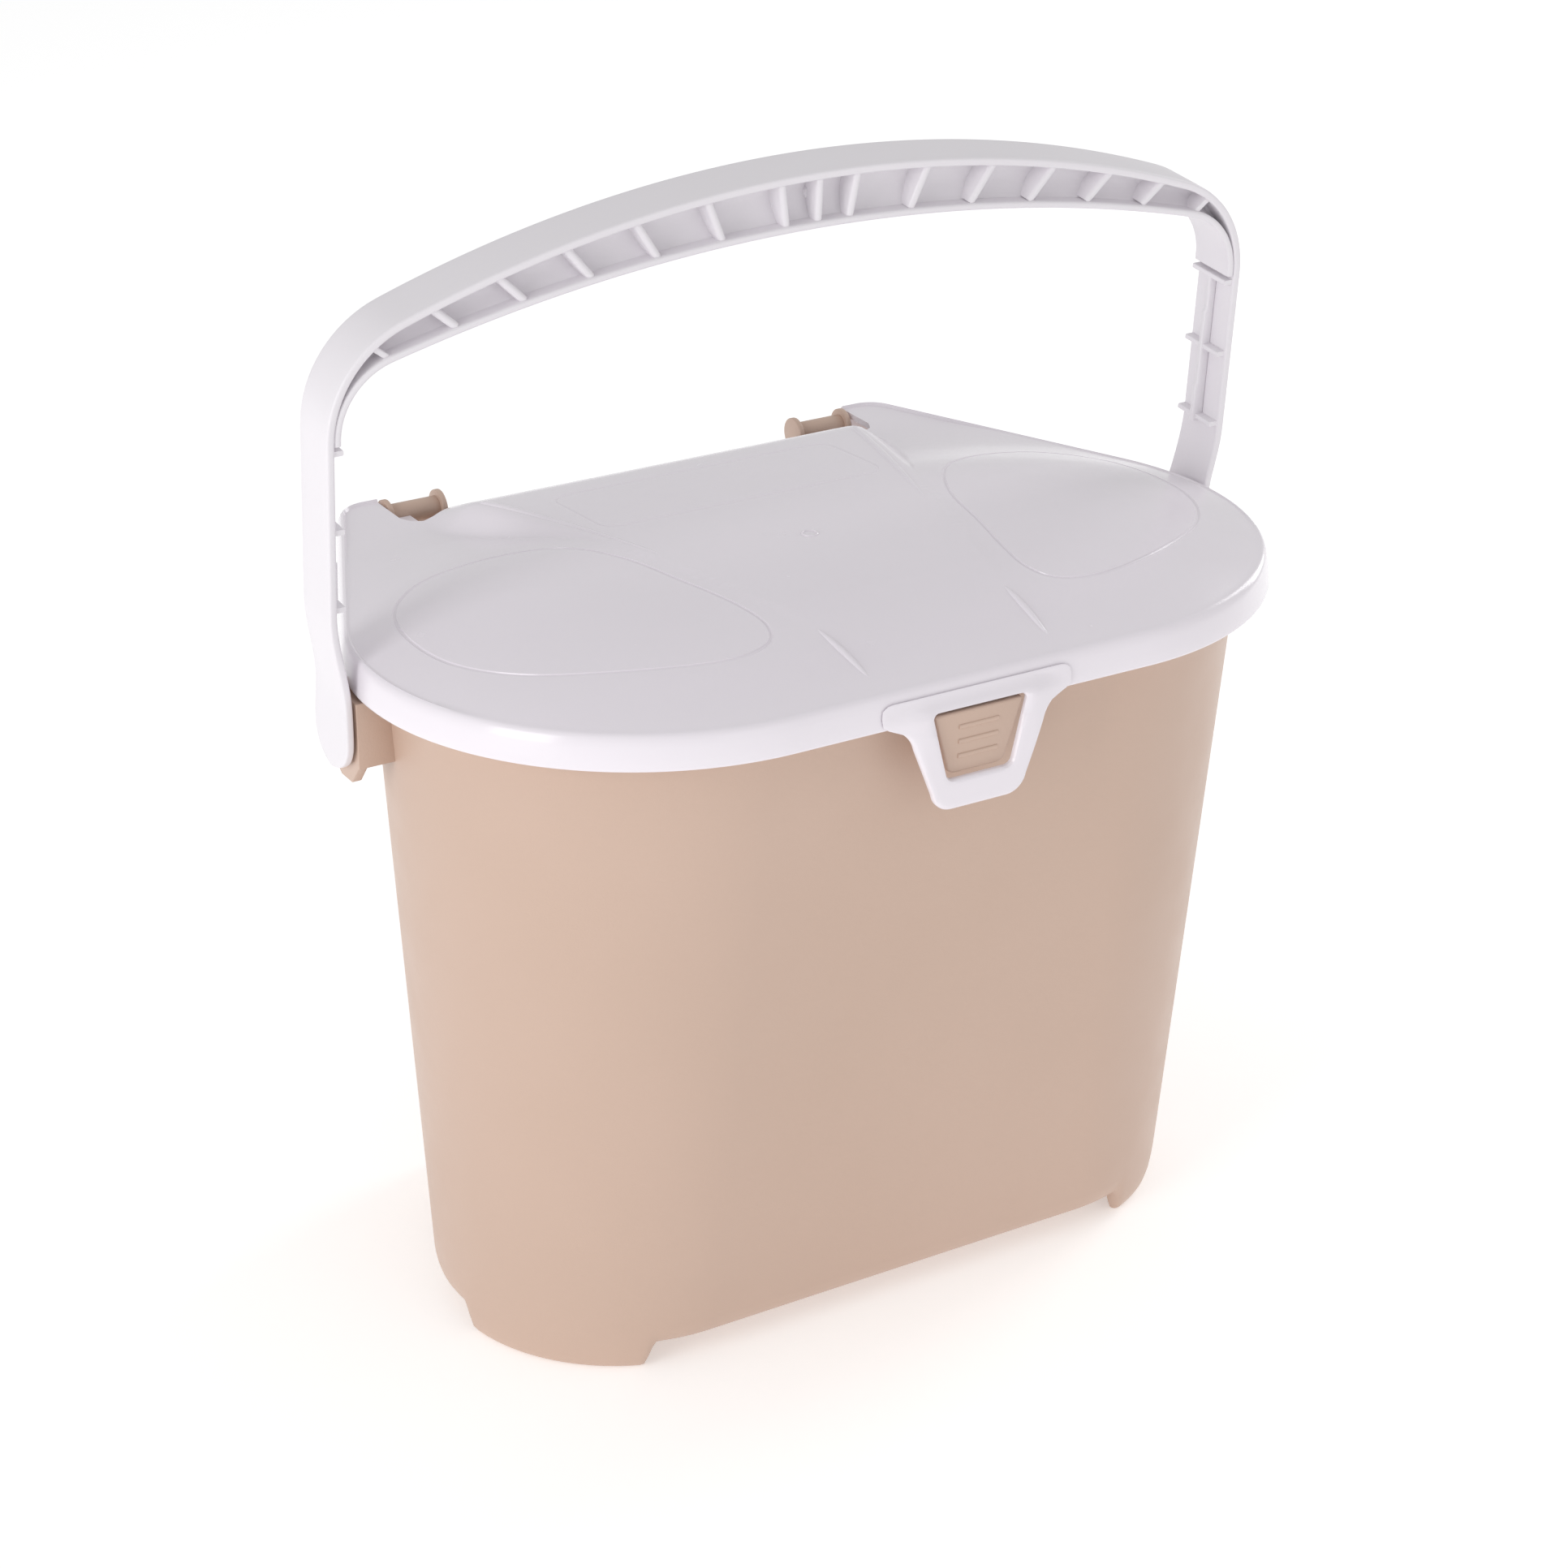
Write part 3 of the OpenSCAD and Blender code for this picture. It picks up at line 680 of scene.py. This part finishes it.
def tongue_depths(x, z):
    """Front and back of the bar, which thins out towards the top and the wing tips."""
    thin = smoothstep(244.5, TONGUE_TOP_Z - 0.5, z) + smoothstep(20.0, 34.0, np.abs(x))
    thickness = mix(TONGUE_BACK_Y - TONGUE_FRONT_Y, THIN_EDGE, np.minimum(thin, 1.0))
    back = TONGUE_BACK_Y + BACK_LEAN * smoothstep(244.0, TONGUE_TOP_Z, z)
    return back - thickness, back


def tongue_rings():
    outer = ray_points(tongue_outer, LOOP_STEPS)
    inner = ray_points(tongue_window, LOOP_STEPS)
    rings = []
    for share, side in [(s, "front") for s in RING_SHARES] + [(s, "back") for s in reversed(RING_SHARES)]:
        points = mix(outer, inner, share)
        front, back = tongue_depths(points[:, 0], points[:, 1])
        edge = min(share, 1.0 - share)
        round_off = 0.42 * (1.0 - min(edge / 0.12, 1.0)) ** 2
        half = (back - front) / 2
        middle = (back + front) / 2
        y = middle - half * (1 - 2 * round_off) if side == "front" else middle + half * (1 - 0.6 * round_off)
        rings.append([(px, py, pz) for (px, pz), py in zip(points, y)])
    return rings


tongue = loft("latch_tongue_frame", tongue_rings(), closed_path=True)
finish_piece(tongue, "latch", "lid_plastic", lid_plastic, "latch_tongue")
print("tongue faces:", len(tongue.data.polygons))

# %% [markdown]
# ## Rows of ribs with Geometry Nodes
#
# Ribs repeat, so nodes make them. The tree places one point for each rib, works out where it
# stands and how far it leans, and puts a bar with rounded corners on each point. The same tree
# makes the fan of ribs in the grip and the plain rows of bars on the catch and in the legs, because
# its sizes are named inputs.

# %% A node tree for a row of bars
def math_node(tree, operation, a, b=None):
    node = tree.nodes.new("ShaderNodeMath")
    node.operation = operation
    for socket, value in zip(node.inputs, (a, b)):
        if value is None:
            continue
        if isinstance(value, (int, float)):
            socket.default_value = value
        else:
            tree.links.new(value, socket)
    return node.outputs[0]


BAR_INPUTS = [("Bars Each Side", "NodeSocketInt", 3), ("First", "NodeSocketFloat", 0.012),
              ("Pitch", "NodeSocketFloat", 0.0236), ("Thickness", "NodeSocketFloat", 0.0016),
              ("Depth", "NodeSocketFloat", 0.018), ("Corner", "NodeSocketFloat", 0.0004),
              ("Lean", "NodeSocketFloat", 0.0), ("Lean Reach", "NodeSocketFloat", 1.0),
              ("Low Height", "NodeSocketFloat", 0.0), ("Low Radius", "NodeSocketFloat", 1000.0),
              ("High Height", "NodeSocketFloat", 0.01), ("High Radius", "NodeSocketFloat", 1000.0),
              ("Overlap", "NodeSocketFloat", 0.0)]


def bar_row_tree(material):
    """Upright bars at x = 0, First, First + Pitch and so on, to both sides, between two arcs."""
    tree = bpy.data.node_groups.new("row_of_bars", "GeometryNodeTree")
    for name, kind, value in BAR_INPUTS:
        tree.interface.new_socket(name, in_out="INPUT", socket_type=kind).default_value = value
    tree.interface.new_socket("Geometry", in_out="OUTPUT", socket_type="NodeSocketGeometry")
    source = tree.nodes.new("NodeGroupInput").outputs
    target = tree.nodes.new("NodeGroupOutput")

    count = math_node(tree, "ADD", math_node(tree, "MULTIPLY", source["Bars Each Side"], 2), 1)
    line = tree.nodes.new("GeometryNodeMeshLine")
    tree.links.new(count, line.inputs["Count"])
    index = tree.nodes.new("GeometryNodeInputIndex").outputs[0]
    place = math_node(tree, "SUBTRACT", index, source["Bars Each Side"])
    sign = math_node(tree, "SIGN", place)
    number = math_node(tree, "ABSOLUTE", place)
    steps = math_node(tree, "MAXIMUM", math_node(tree, "SUBTRACT", number, 1.0), 0.0)
    reach = math_node(tree, "ADD", source["First"], math_node(tree, "MULTIPLY", steps, source["Pitch"]))
    x = math_node(tree, "MULTIPLY", sign, reach)

    def arc_height(height, radius):
        square = math_node(tree, "MULTIPLY", x, x)
        sag = math_node(tree, "DIVIDE", square, math_node(tree, "MULTIPLY", radius, 2.0))
        return math_node(tree, "SUBTRACT", height, sag)

    low = arc_height(source["Low Height"], source["Low Radius"])
    high = arc_height(source["High Height"], source["High Radius"])
    fade = math_node(tree, "EXPONENT", math_node(tree, "DIVIDE", math_node(tree, "ABSOLUTE", x),
                                                 math_node(tree, "MULTIPLY", source["Lean Reach"], -1.0)))
    lean = math_node(tree, "MULTIPLY", source["Lean"], math_node(tree, "SUBTRACT", 1.0, fade))
    turn = math_node(tree, "MULTIPLY", lean, sign)
    fall = math_node(tree, "DIVIDE", math_node(tree, "ABSOLUTE", x), source["High Radius"])
    share = math_node(tree, "ADD", math_node(tree, "COSINE", lean),
                      math_node(tree, "MULTIPLY", fall, math_node(tree, "SINE", lean)))
    gap = math_node(tree, "ADD", math_node(tree, "SUBTRACT", high, low), source["Overlap"])
    length = math_node(tree, "DIVIDE", gap, share)

    position = tree.nodes.new("ShaderNodeCombineXYZ")
    tree.links.new(x, position.inputs["X"])
    tree.links.new(low, position.inputs["Z"])
    place_points = tree.nodes.new("GeometryNodeSetPosition")
    tree.links.new(line.outputs["Mesh"], place_points.inputs["Geometry"])
    tree.links.new(position.outputs[0], place_points.inputs["Position"])

    section = tree.nodes.new("GeometryNodeCurvePrimitiveQuadrilateral")
    tree.links.new(source["Thickness"], section.inputs["Width"])
    tree.links.new(source["Depth"], section.inputs["Height"])
    fillet = tree.nodes.new("GeometryNodeFilletCurve")
    fillet.mode = "POLY"
    fillet.inputs["Count"].default_value = 3
    tree.links.new(section.outputs[0], fillet.inputs["Curve"])
    tree.links.new(source["Corner"], fillet.inputs["Radius"])
    stem = tree.nodes.new("GeometryNodeCurvePrimitiveLine")
    stem.inputs["End"].default_value = (0, 0, 1)
    bar = tree.nodes.new("GeometryNodeCurveToMesh")
    bar.inputs["Fill Caps"].default_value = True
    tree.links.new(stem.outputs[0], bar.inputs["Curve"])
    tree.links.new(fillet.outputs[0], bar.inputs["Profile Curve"])

    rotation = tree.nodes.new("ShaderNodeCombineXYZ")
    tree.links.new(turn, rotation.inputs["Y"])
    scale = tree.nodes.new("ShaderNodeCombineXYZ")
    scale.inputs["X"].default_value = 1.0
    scale.inputs["Y"].default_value = 1.0
    tree.links.new(length, scale.inputs["Z"])
    instances = tree.nodes.new("GeometryNodeInstanceOnPoints")
    tree.links.new(place_points.outputs[0], instances.inputs["Points"])
    tree.links.new(bar.outputs[0], instances.inputs["Instance"])
    tree.links.new(rotation.outputs[0], instances.inputs["Rotation"])
    tree.links.new(scale.outputs[0], instances.inputs["Scale"])

    real = tree.nodes.new("GeometryNodeRealizeInstances")
    tree.links.new(instances.outputs[0], real.inputs[0])
    paint = tree.nodes.new("GeometryNodeSetMaterial")
    paint.inputs["Material"].default_value = material
    tree.links.new(real.outputs[0], paint.inputs["Geometry"])
    tree.links.new(paint.outputs[0], target.inputs["Geometry"])
    return tree


def bar_row(name, material, matrices, **sizes):
    """Evaluates the tree once and places the result with each matrix."""
    tree = bar_row_tree(material)
    host = bpy.data.objects.new(name + "_host", bpy.data.meshes.new(name + "_host"))
    bpy.context.scene.collection.objects.link(host)
    modifier = host.modifiers.new("bars", "NODES")
    modifier.node_group = tree
    for item in tree.interface.items_tree:
        key = item.name.lower().replace(" ", "_")
        if item.in_out == "INPUT" and key in sizes:
            modifier[item.identifier] = sizes[key]
    row = plain_mesh(host, name + "_row")
    bm = bmesh.new()
    for matrix in matrices:
        copy = row.data.copy()
        copy.transform(matrix)
        bm.from_mesh(copy)
        bpy.data.meshes.remove(copy)
    bpy.data.objects.remove(row)
    bmesh.ops.remove_doubles(bm, verts=bm.verts[:], dist=0.000005)
    return object_from_bmesh(name, bm)


# %% [markdown]
# ## The catch boss
#
# A boss on the tub fills the tongue's window, level with it, and is pressed by a thumb while the
# tongue is pulled. Three raised bars give the thumb some grip. They lie on the boss's sloping face,
# so the row of bars is turned on its side and leaned with it.

# %% Boss and its grip bars
BOSS_LOW = (-120.4, 221.5)
BOSS_HIGH = (-121.8, 245.0)
GRIP_BARS_Z = 233.6
boss = rounded_copy("catch_boss", "catch_boss_block", 0.9, 3)
finish_piece(boss, "tub", "tub_plastic", tub_plastic, "catch_boss")
face_lean = math.atan2(BOSS_LOW[0] - BOSS_HIGH[0], BOSS_HIGH[1] - BOSS_LOW[1])
face_y = mix(BOSS_LOW[0], BOSS_HIGH[0], (GRIP_BARS_Z - BOSS_LOW[1]) / (BOSS_HIGH[1] - BOSS_LOW[1]))
lay_down = Matrix.Translation(Vector((0, face_y + 0.2, GRIP_BARS_Z)) * MM) \
    @ Matrix.Rotation(face_lean, 4, "X") @ Matrix.Rotation(math.radians(90), 4, "Y")
grip_bars = bar_row("catch_grip_bars", tub_plastic, [lay_down], bars_each_side=1, first=0.0052, pitch=0.0052,
                    thickness=0.0016, depth=0.0013, corner=0.0005, low_height=-0.0075, high_height=0.0075)
finish_piece(grip_bars, "tub", "tub_plastic", tub_plastic)
print("grip bars faces:", len(grip_bars.data.polygons))

# %% [markdown]
# ## Ears, hinges and clips
#
# The ears that carry the handle and the spools that carry the lid are plain plates, discs and
# rods. Their mechanical shapes are already the right ones, so each is copied and its edges are
# rounded. The hooks of the lid are also cut off a little above the middle of the rods, so that the
# rods are seen plain from the front. The left and right ones stay separate pieces.

# %% Rounded copies of the mechanical parts
HOOK_TOP_Z = 249.0


def trim_above(obj, z_mm):
    """Cuts off everything above a height and closes the cut."""
    bm = bmesh.new()
    bm.from_mesh(obj.data)
    whole = bm.verts[:] + bm.edges[:] + bm.faces[:]
    bmesh.ops.bisect_plane(bm, geom=whole, plane_co=(0, 0, z_mm * MM), plane_no=(0, 0, 1),
                           clear_outer=True)
    rims = [edge for edge in bm.edges if edge.is_boundary]
    bmesh.ops.holes_fill(bm, edges=rims)
    bmesh.ops.recalc_face_normals(bm, faces=bm.faces[:])
    bm.to_mesh(obj.data)
    bm.free()


for word in ("left", "right"):
    for node, name, width in [("ear_" + word, "ear_plate_" + word, 0.6),
                              ("hinge_bracket_" + word, "hinge_cheeks_" + word, 0.35),
                              ("hinge_rod_" + word, "hinge_spool_rod_" + word, 0.1)]:
        piece = rounded_copy(node, name, width)
        finish_piece(piece, "tub", "tub_plastic", tub_plastic, node)
    clip = rounded_copy("lid_clip_" + word, "lid_hook_" + word, 0.3)
    trim_above(clip, HOOK_TOP_Z)
    finish_piece(clip, "lid", "lid_plastic", lid_plastic, "lid_clip_" + word)
    pin = rounded_copy("handle_pin_" + word, "handle_pivot_" + word, 0.4)
    finish_piece(pin, "handle", "handle_plastic", handle_plastic, "handle_pin_" + word)
    rib = rounded_copy("handle_leg_rib_" + word, "leg_web_" + word, 0.5)
    finish_piece(rib, "handle", "handle_plastic", handle_plastic, "handle_leg_rib_" + word)
print("rounded copies made")

# %% [markdown]
# ## The handle
#
# The handle is a flat strap bent over the bin, with a deep grip: a second flange below the strap,
# a web between the two, and a fan of ribs that lean outwards more and more towards the corners.
# The web is thin in its middle and thickens in a curve towards strap and flange, which gives the
# pockets between the ribs their dished look. The ribs pass through the web, so each shows on both sides.

# %% The curve that strap and flange follow
HANDLE_LEAN = math.radians(5.0)
PIVOT_Z = 228.0
STRAP_T = 2.8
STRAP_W = 20.5
LEG_X = 175.0
LEG_JOG = 4.2
PIVOT_END_R = 12.5
GRIP_TOP = 168.5
GRIP_LOW = 149.0
LIP_T = 2.5
LIP_W = 20.0
LIP_LOW_H = 104.5
STRAP_ARCH = (440, 40)
LIP_ARCH = (590, 24)
stand = Matrix.Translation((0, 0, PIVOT_Z * MM)) @ Matrix.Rotation(HANDLE_LEAN, 4, "X")


def bail_curve(top, big_r, small_r, leg_x, steps=60, corner_steps=22):
    """Right half of the arch and its corner, as points of x and height, from the crest to the leg."""
    xc = leg_x - small_r
    hc = top - big_r + math.sqrt((big_r - small_r) ** 2 - xc ** 2)
    meet = math.atan2(hc - (top - big_r), xc)
    arch = [(big_r * math.cos(a), top - big_r + big_r * math.sin(a))
            for a in np.linspace(math.pi / 2, meet, steps)]
    corner = [(xc + small_r * math.cos(a), hc + small_r * math.sin(a))
              for a in np.linspace(meet, 0, corner_steps)[1:]]
    return arch + corner


def both_sides(right):
    return np.array([(-x, h) for x, h in right[:0:-1]] + right)


def bar_section(thickness, width, corner):
    """A rounded bar's section: depth below the outer face, and place across the width."""
    half = width / 2
    corner = min(corner, thickness / 2.05, half * 0.9)
    points = []
    for cd, cw, start in [(corner, half - corner, 90), (thickness - corner, half - corner, 0),
                          (thickness - corner, corner - half, -90), (corner, corner - half, -180)]:
        for a in np.linspace(start, start - 90, 5):
            turn = math.radians(a)
            points.append((cd - corner * math.sin(turn), cw + corner * math.cos(turn)))
    return points + [(0.0, w) for w in np.linspace(-half * 0.5, half * 0.5, 3)]


def sweep(name, curve, widths, thickness, corner=0.8):
    """Carries a rounded bar along a curve. The curve is the bar's outer face."""
    ahead = np.gradient(curve, axis=0)
    ahead /= np.linalg.norm(ahead, axis=1)[:, None]
    rings = []
    for (x, h), (tx, th), width in zip(curve, ahead, widths):
        rings.append([(x + th * depth, across, h - tx * depth)
                      for depth, across in bar_section(thickness, width, corner)])
    piece = loft(name, rings)
    piece.data.transform(stand)
    return piece


strap_arch = bail_curve(GRIP_TOP, *STRAP_ARCH, LEG_X)
print("corner of the bail at", [round(v, 1) for v in strap_arch[-1]])

# %% Strap, from one pivot over the grip to the other
leg = [(LEG_X, h) for h in np.linspace(100, 46, 10)]
leg += [(LEG_X - LEG_JOG * smoothstep(46, 12, h), h) for h in np.linspace(44, 12, 12)]
leg += [(LEG_X - LEG_JOG, h) for h in (9.0, 5.0, 2.0)]
leg += [(LEG_X - LEG_JOG, -PIVOT_END_R * math.sin(a)) for a in np.linspace(0, math.pi / 2 - 0.06, 16)]
strap_curve = both_sides(strap_arch + [(float(x), float(h)) for x, h in leg])


def strap_width(h):
    """The strap flares to its round pivot end."""
    if h < 0:
        return 2 * math.sqrt(max(PIVOT_END_R ** 2 - h ** 2, 0.01))
    return mix(2 * PIVOT_END_R, STRAP_W, float(smoothstep(0, 30, h)))


strap = sweep("handle_bail_strap", strap_curve, [strap_width(h) for x, h in strap_curve], STRAP_T)
finish_piece(strap, "handle", "handle_plastic", handle_plastic, "handle_strap")

# %% Grip flange below the strap, and the web between the two
lip_radii = [r + LIP_T for r in LIP_ARCH]
lip_right = bail_curve(GRIP_LOW + LIP_T, *lip_radii, LEG_X - STRAP_T, corner_steps=26)
lip_right += [(LEG_X - STRAP_T, LIP_LOW_H)]
lip_curve = both_sides(lip_right)
lip = sweep("handle_grip_lip", lip_curve, [LIP_W] * len(lip_curve), LIP_T, 0.9)
finish_piece(lip, "handle", "handle_plastic", handle_plastic, "handle_grip_flange")

WEB_HALF = 1.0
WEB_TOP_SWELL = 1.8
WEB_LOW_SWELL = 4.4
WEB_EMBED = 0.3
WEB_RINGS = 120
WEB_END = 3
under_strap = [r - STRAP_T for r in STRAP_ARCH]
upper = both_sides(bail_curve(GRIP_TOP - STRAP_T + WEB_EMBED, *under_strap, LEG_X - STRAP_T))
lower = both_sides(bail_curve(GRIP_LOW + LIP_T - WEB_EMBED, *lip_radii, LEG_X - STRAP_T))


def spread(curve, count):
    lengths = np.concatenate([[0], np.cumsum(np.linalg.norm(np.diff(curve, axis=0), axis=1))])
    at = np.linspace(0, lengths[-1], count)
    return np.column_stack([np.interp(at, lengths, curve[:, 0]), np.interp(at, lengths, curve[:, 1])])


def web_half(share):
    """Half the web's thickness. It thickens in a curve where it meets the strap and the flange."""
    return WEB_HALF + WEB_TOP_SWELL * (1.0 - share) ** 5 + WEB_LOW_SWELL * share ** 3


web_shares = np.linspace(0.0, 1.0, 9)
web_rings = []
for a, b in list(zip(spread(upper, WEB_RINGS), spread(lower, WEB_RINGS)))[WEB_END:-WEB_END]:
    ahead = [(mix(a[0], b[0], k), -web_half(k), mix(a[1], b[1], k)) for k in web_shares]
    web_rings.append(ahead + [(px, -py, ph) for px, py, ph in reversed(ahead)])
web = loft("handle_grip_web", web_rings)
web.data.transform(stand)
finish_piece(web, "handle", "handle_plastic", handle_plastic, "handle_web")
print("strap, lip and web faces:", [len(o.data.polygons) for o in (strap, lip, web)])

# %% The fan of ribs in the grip
# The bar rows take their sizes in metres, as the node tree's inputs do.
ribs = bar_row("handle_grip_ribs", handle_plastic, [stand], bars_each_side=6, first=0.0120, pitch=0.0236,
               thickness=0.0028, depth=0.0184, corner=0.0012, lean=math.radians(60), lean_reach=0.075,
               low_height=0.1512, low_radius=0.590, high_height=0.1657, high_radius=0.440, overlap=0.0012)
finish_piece(ribs, "handle", "handle_plastic", handle_plastic, "handle_cross_ribs")
CORNER_RIB = (153.2, 130.6)
CORNER_RIB_LEAN = 52
corner_places = []
for side in (-1, 1):
    place = Matrix.Translation(Vector((side * CORNER_RIB[0], 0, CORNER_RIB[1])) * MM)
    corner_places.append(stand @ place @ Matrix.Rotation(side * math.radians(CORNER_RIB_LEAN), 4, "Y"))
corner_ribs = bar_row("handle_corner_ribs", handle_plastic, corner_places, bars_each_side=0, thickness=0.0020,
                      depth=0.0180, corner=0.0005, high_height=0.0066)
finish_piece(corner_ribs, "handle", "handle_plastic", handle_plastic)
print("grip ribs faces:", len(ribs.data.polygons) + len(corner_ribs.data.polygons))

# %% Short cross bars in the legs, and the gate nub on the grip
LEG_INNER_X = LEG_X - STRAP_T
LEG_BAR_DEPTH = 3.4
LEG_BAR_SUNK = 0.2
LEG_BAR_MIDDLE_H = 75.0
NUB_H = 159.0
NUB_ROUND = [(2.4, 0.8), (2.4, 2.4), (2.1, 2.9), (1.2, 3.1), (1.0, 2.7)]
leg_places = []
for side in (-1, 1):
    bar_x = side * (LEG_INNER_X - LEG_BAR_DEPTH / 2 + LEG_BAR_SUNK)
    place = Matrix.Translation((bar_x * MM, 0, LEG_BAR_MIDDLE_H * MM))
    leg_places.append(stand @ place @ Matrix.Rotation(math.radians(90), 4, "X")
                      @ Matrix.Rotation(math.radians(90), 4, "Z"))
leg_bars = bar_row("leg_cross_bars", handle_plastic, leg_places, bars_each_side=1, first=0.0270, pitch=0.0270,
                   thickness=0.0018, depth=LEG_BAR_DEPTH * MM, corner=0.0004, low_height=-0.0095,
                   high_height=0.0095)
finish_piece(leg_bars, "handle", "handle_plastic", handle_plastic)
nub_turns = np.linspace(0, 2 * math.pi, 20, endpoint=False)
nub_rings = [[(r * math.cos(a), -depth, NUB_H + r * math.sin(a)) for a in nub_turns]
             for r, depth in NUB_ROUND]
nub = loft("handle_gate_nub", nub_rings)
nub.data.transform(stand)
finish_piece(nub, "handle", "handle_plastic", handle_plastic)
print("leg bars and nub made")

# %% [markdown]
# ## Stage, light and camera
#
# A product shot of a pale plastic bin wants a white floor that fills the view and soft lights. The
# strongest light stands to the left, so the round end of the tub is bright and the flat front
# falls off gently. A long lens keeps the upright edges calm.

# %% A wide floor, the world, the lights and the camera
stage_white = bpy.data.materials.new("stage_white")
stage_white.use_nodes = True
stage_shader = stage_white.node_tree.nodes["Principled BSDF"]
stage_shader.inputs["Base Color"].default_value = (0.93, 0.93, 0.93, 1.0)
stage_shader.inputs["Roughness"].default_value = 0.9
stage_shader.inputs["Emission Color"].default_value = (1.0, 1.0, 1.0, 1.0)
stage_shader.inputs["Emission Strength"].default_value = 0.34
FLOOR_HALF = 6000.0
FLOOR_THICKNESS = 20.0
floor_corners = [(-FLOOR_HALF, -FLOOR_HALF), (FLOOR_HALF, -FLOOR_HALF), (FLOOR_HALF, FLOOR_HALF),
                 (-FLOOR_HALF, FLOOR_HALF)]
floor = loft("floor", prism(floor_corners, -FLOOR_THICKNESS, 0.0))
floor.data.materials.append(stage_white)

world = bpy.data.worlds.new("soft_studio")
bpy.context.scene.world = world
world.use_nodes = True
background = world.node_tree.nodes["Background"]
background.inputs["Color"].default_value = (1.0, 1.0, 1.0, 1.0)
background.inputs["Strength"].default_value = 0.64


def area_light(name, place, aim, size, power):
    light = bpy.data.lights.new(name, "AREA")
    light.shape = "RECTANGLE"
    light.size = size[0]
    light.size_y = size[1]
    light.energy = power
    obj = bpy.data.objects.new(name, light)
    obj.location = place
    obj.rotation_euler = (Vector(aim) - Vector(place)).to_track_quat("-Z", "Y").to_euler()
    bpy.context.scene.collection.objects.link(obj)
    return obj


area_light("key_left", (-1.9, -0.6, 0.7), (0, 0, 0.18), (0.8, 1.2), 12)
area_light("fill_front", (0.5, -2.2, 0.8), (0, 0, 0.2), (1.4, 1.0), 2)
area_light("rim_right", (1.8, 0.5, 0.9), (0, 0, 0.25), (0.7, 1.2), 8)

bpy.context.scene.view_settings.view_transform = "Standard"
camera_data = bpy.data.cameras.new("camera")
camera_data.lens = 85.0
camera_data.sensor_width = 36.0
camera = bpy.data.objects.new("camera", camera_data)
camera.location = (-0.6032, -1.0138, 0.7217)
camera.rotation_euler = (math.radians(64.857), 0.0, math.radians(-30.753))
bpy.context.scene.collection.objects.link(camera)
bpy.context.scene.camera = camera
print("camera at", tuple(round(v, 3) for v in camera.location))
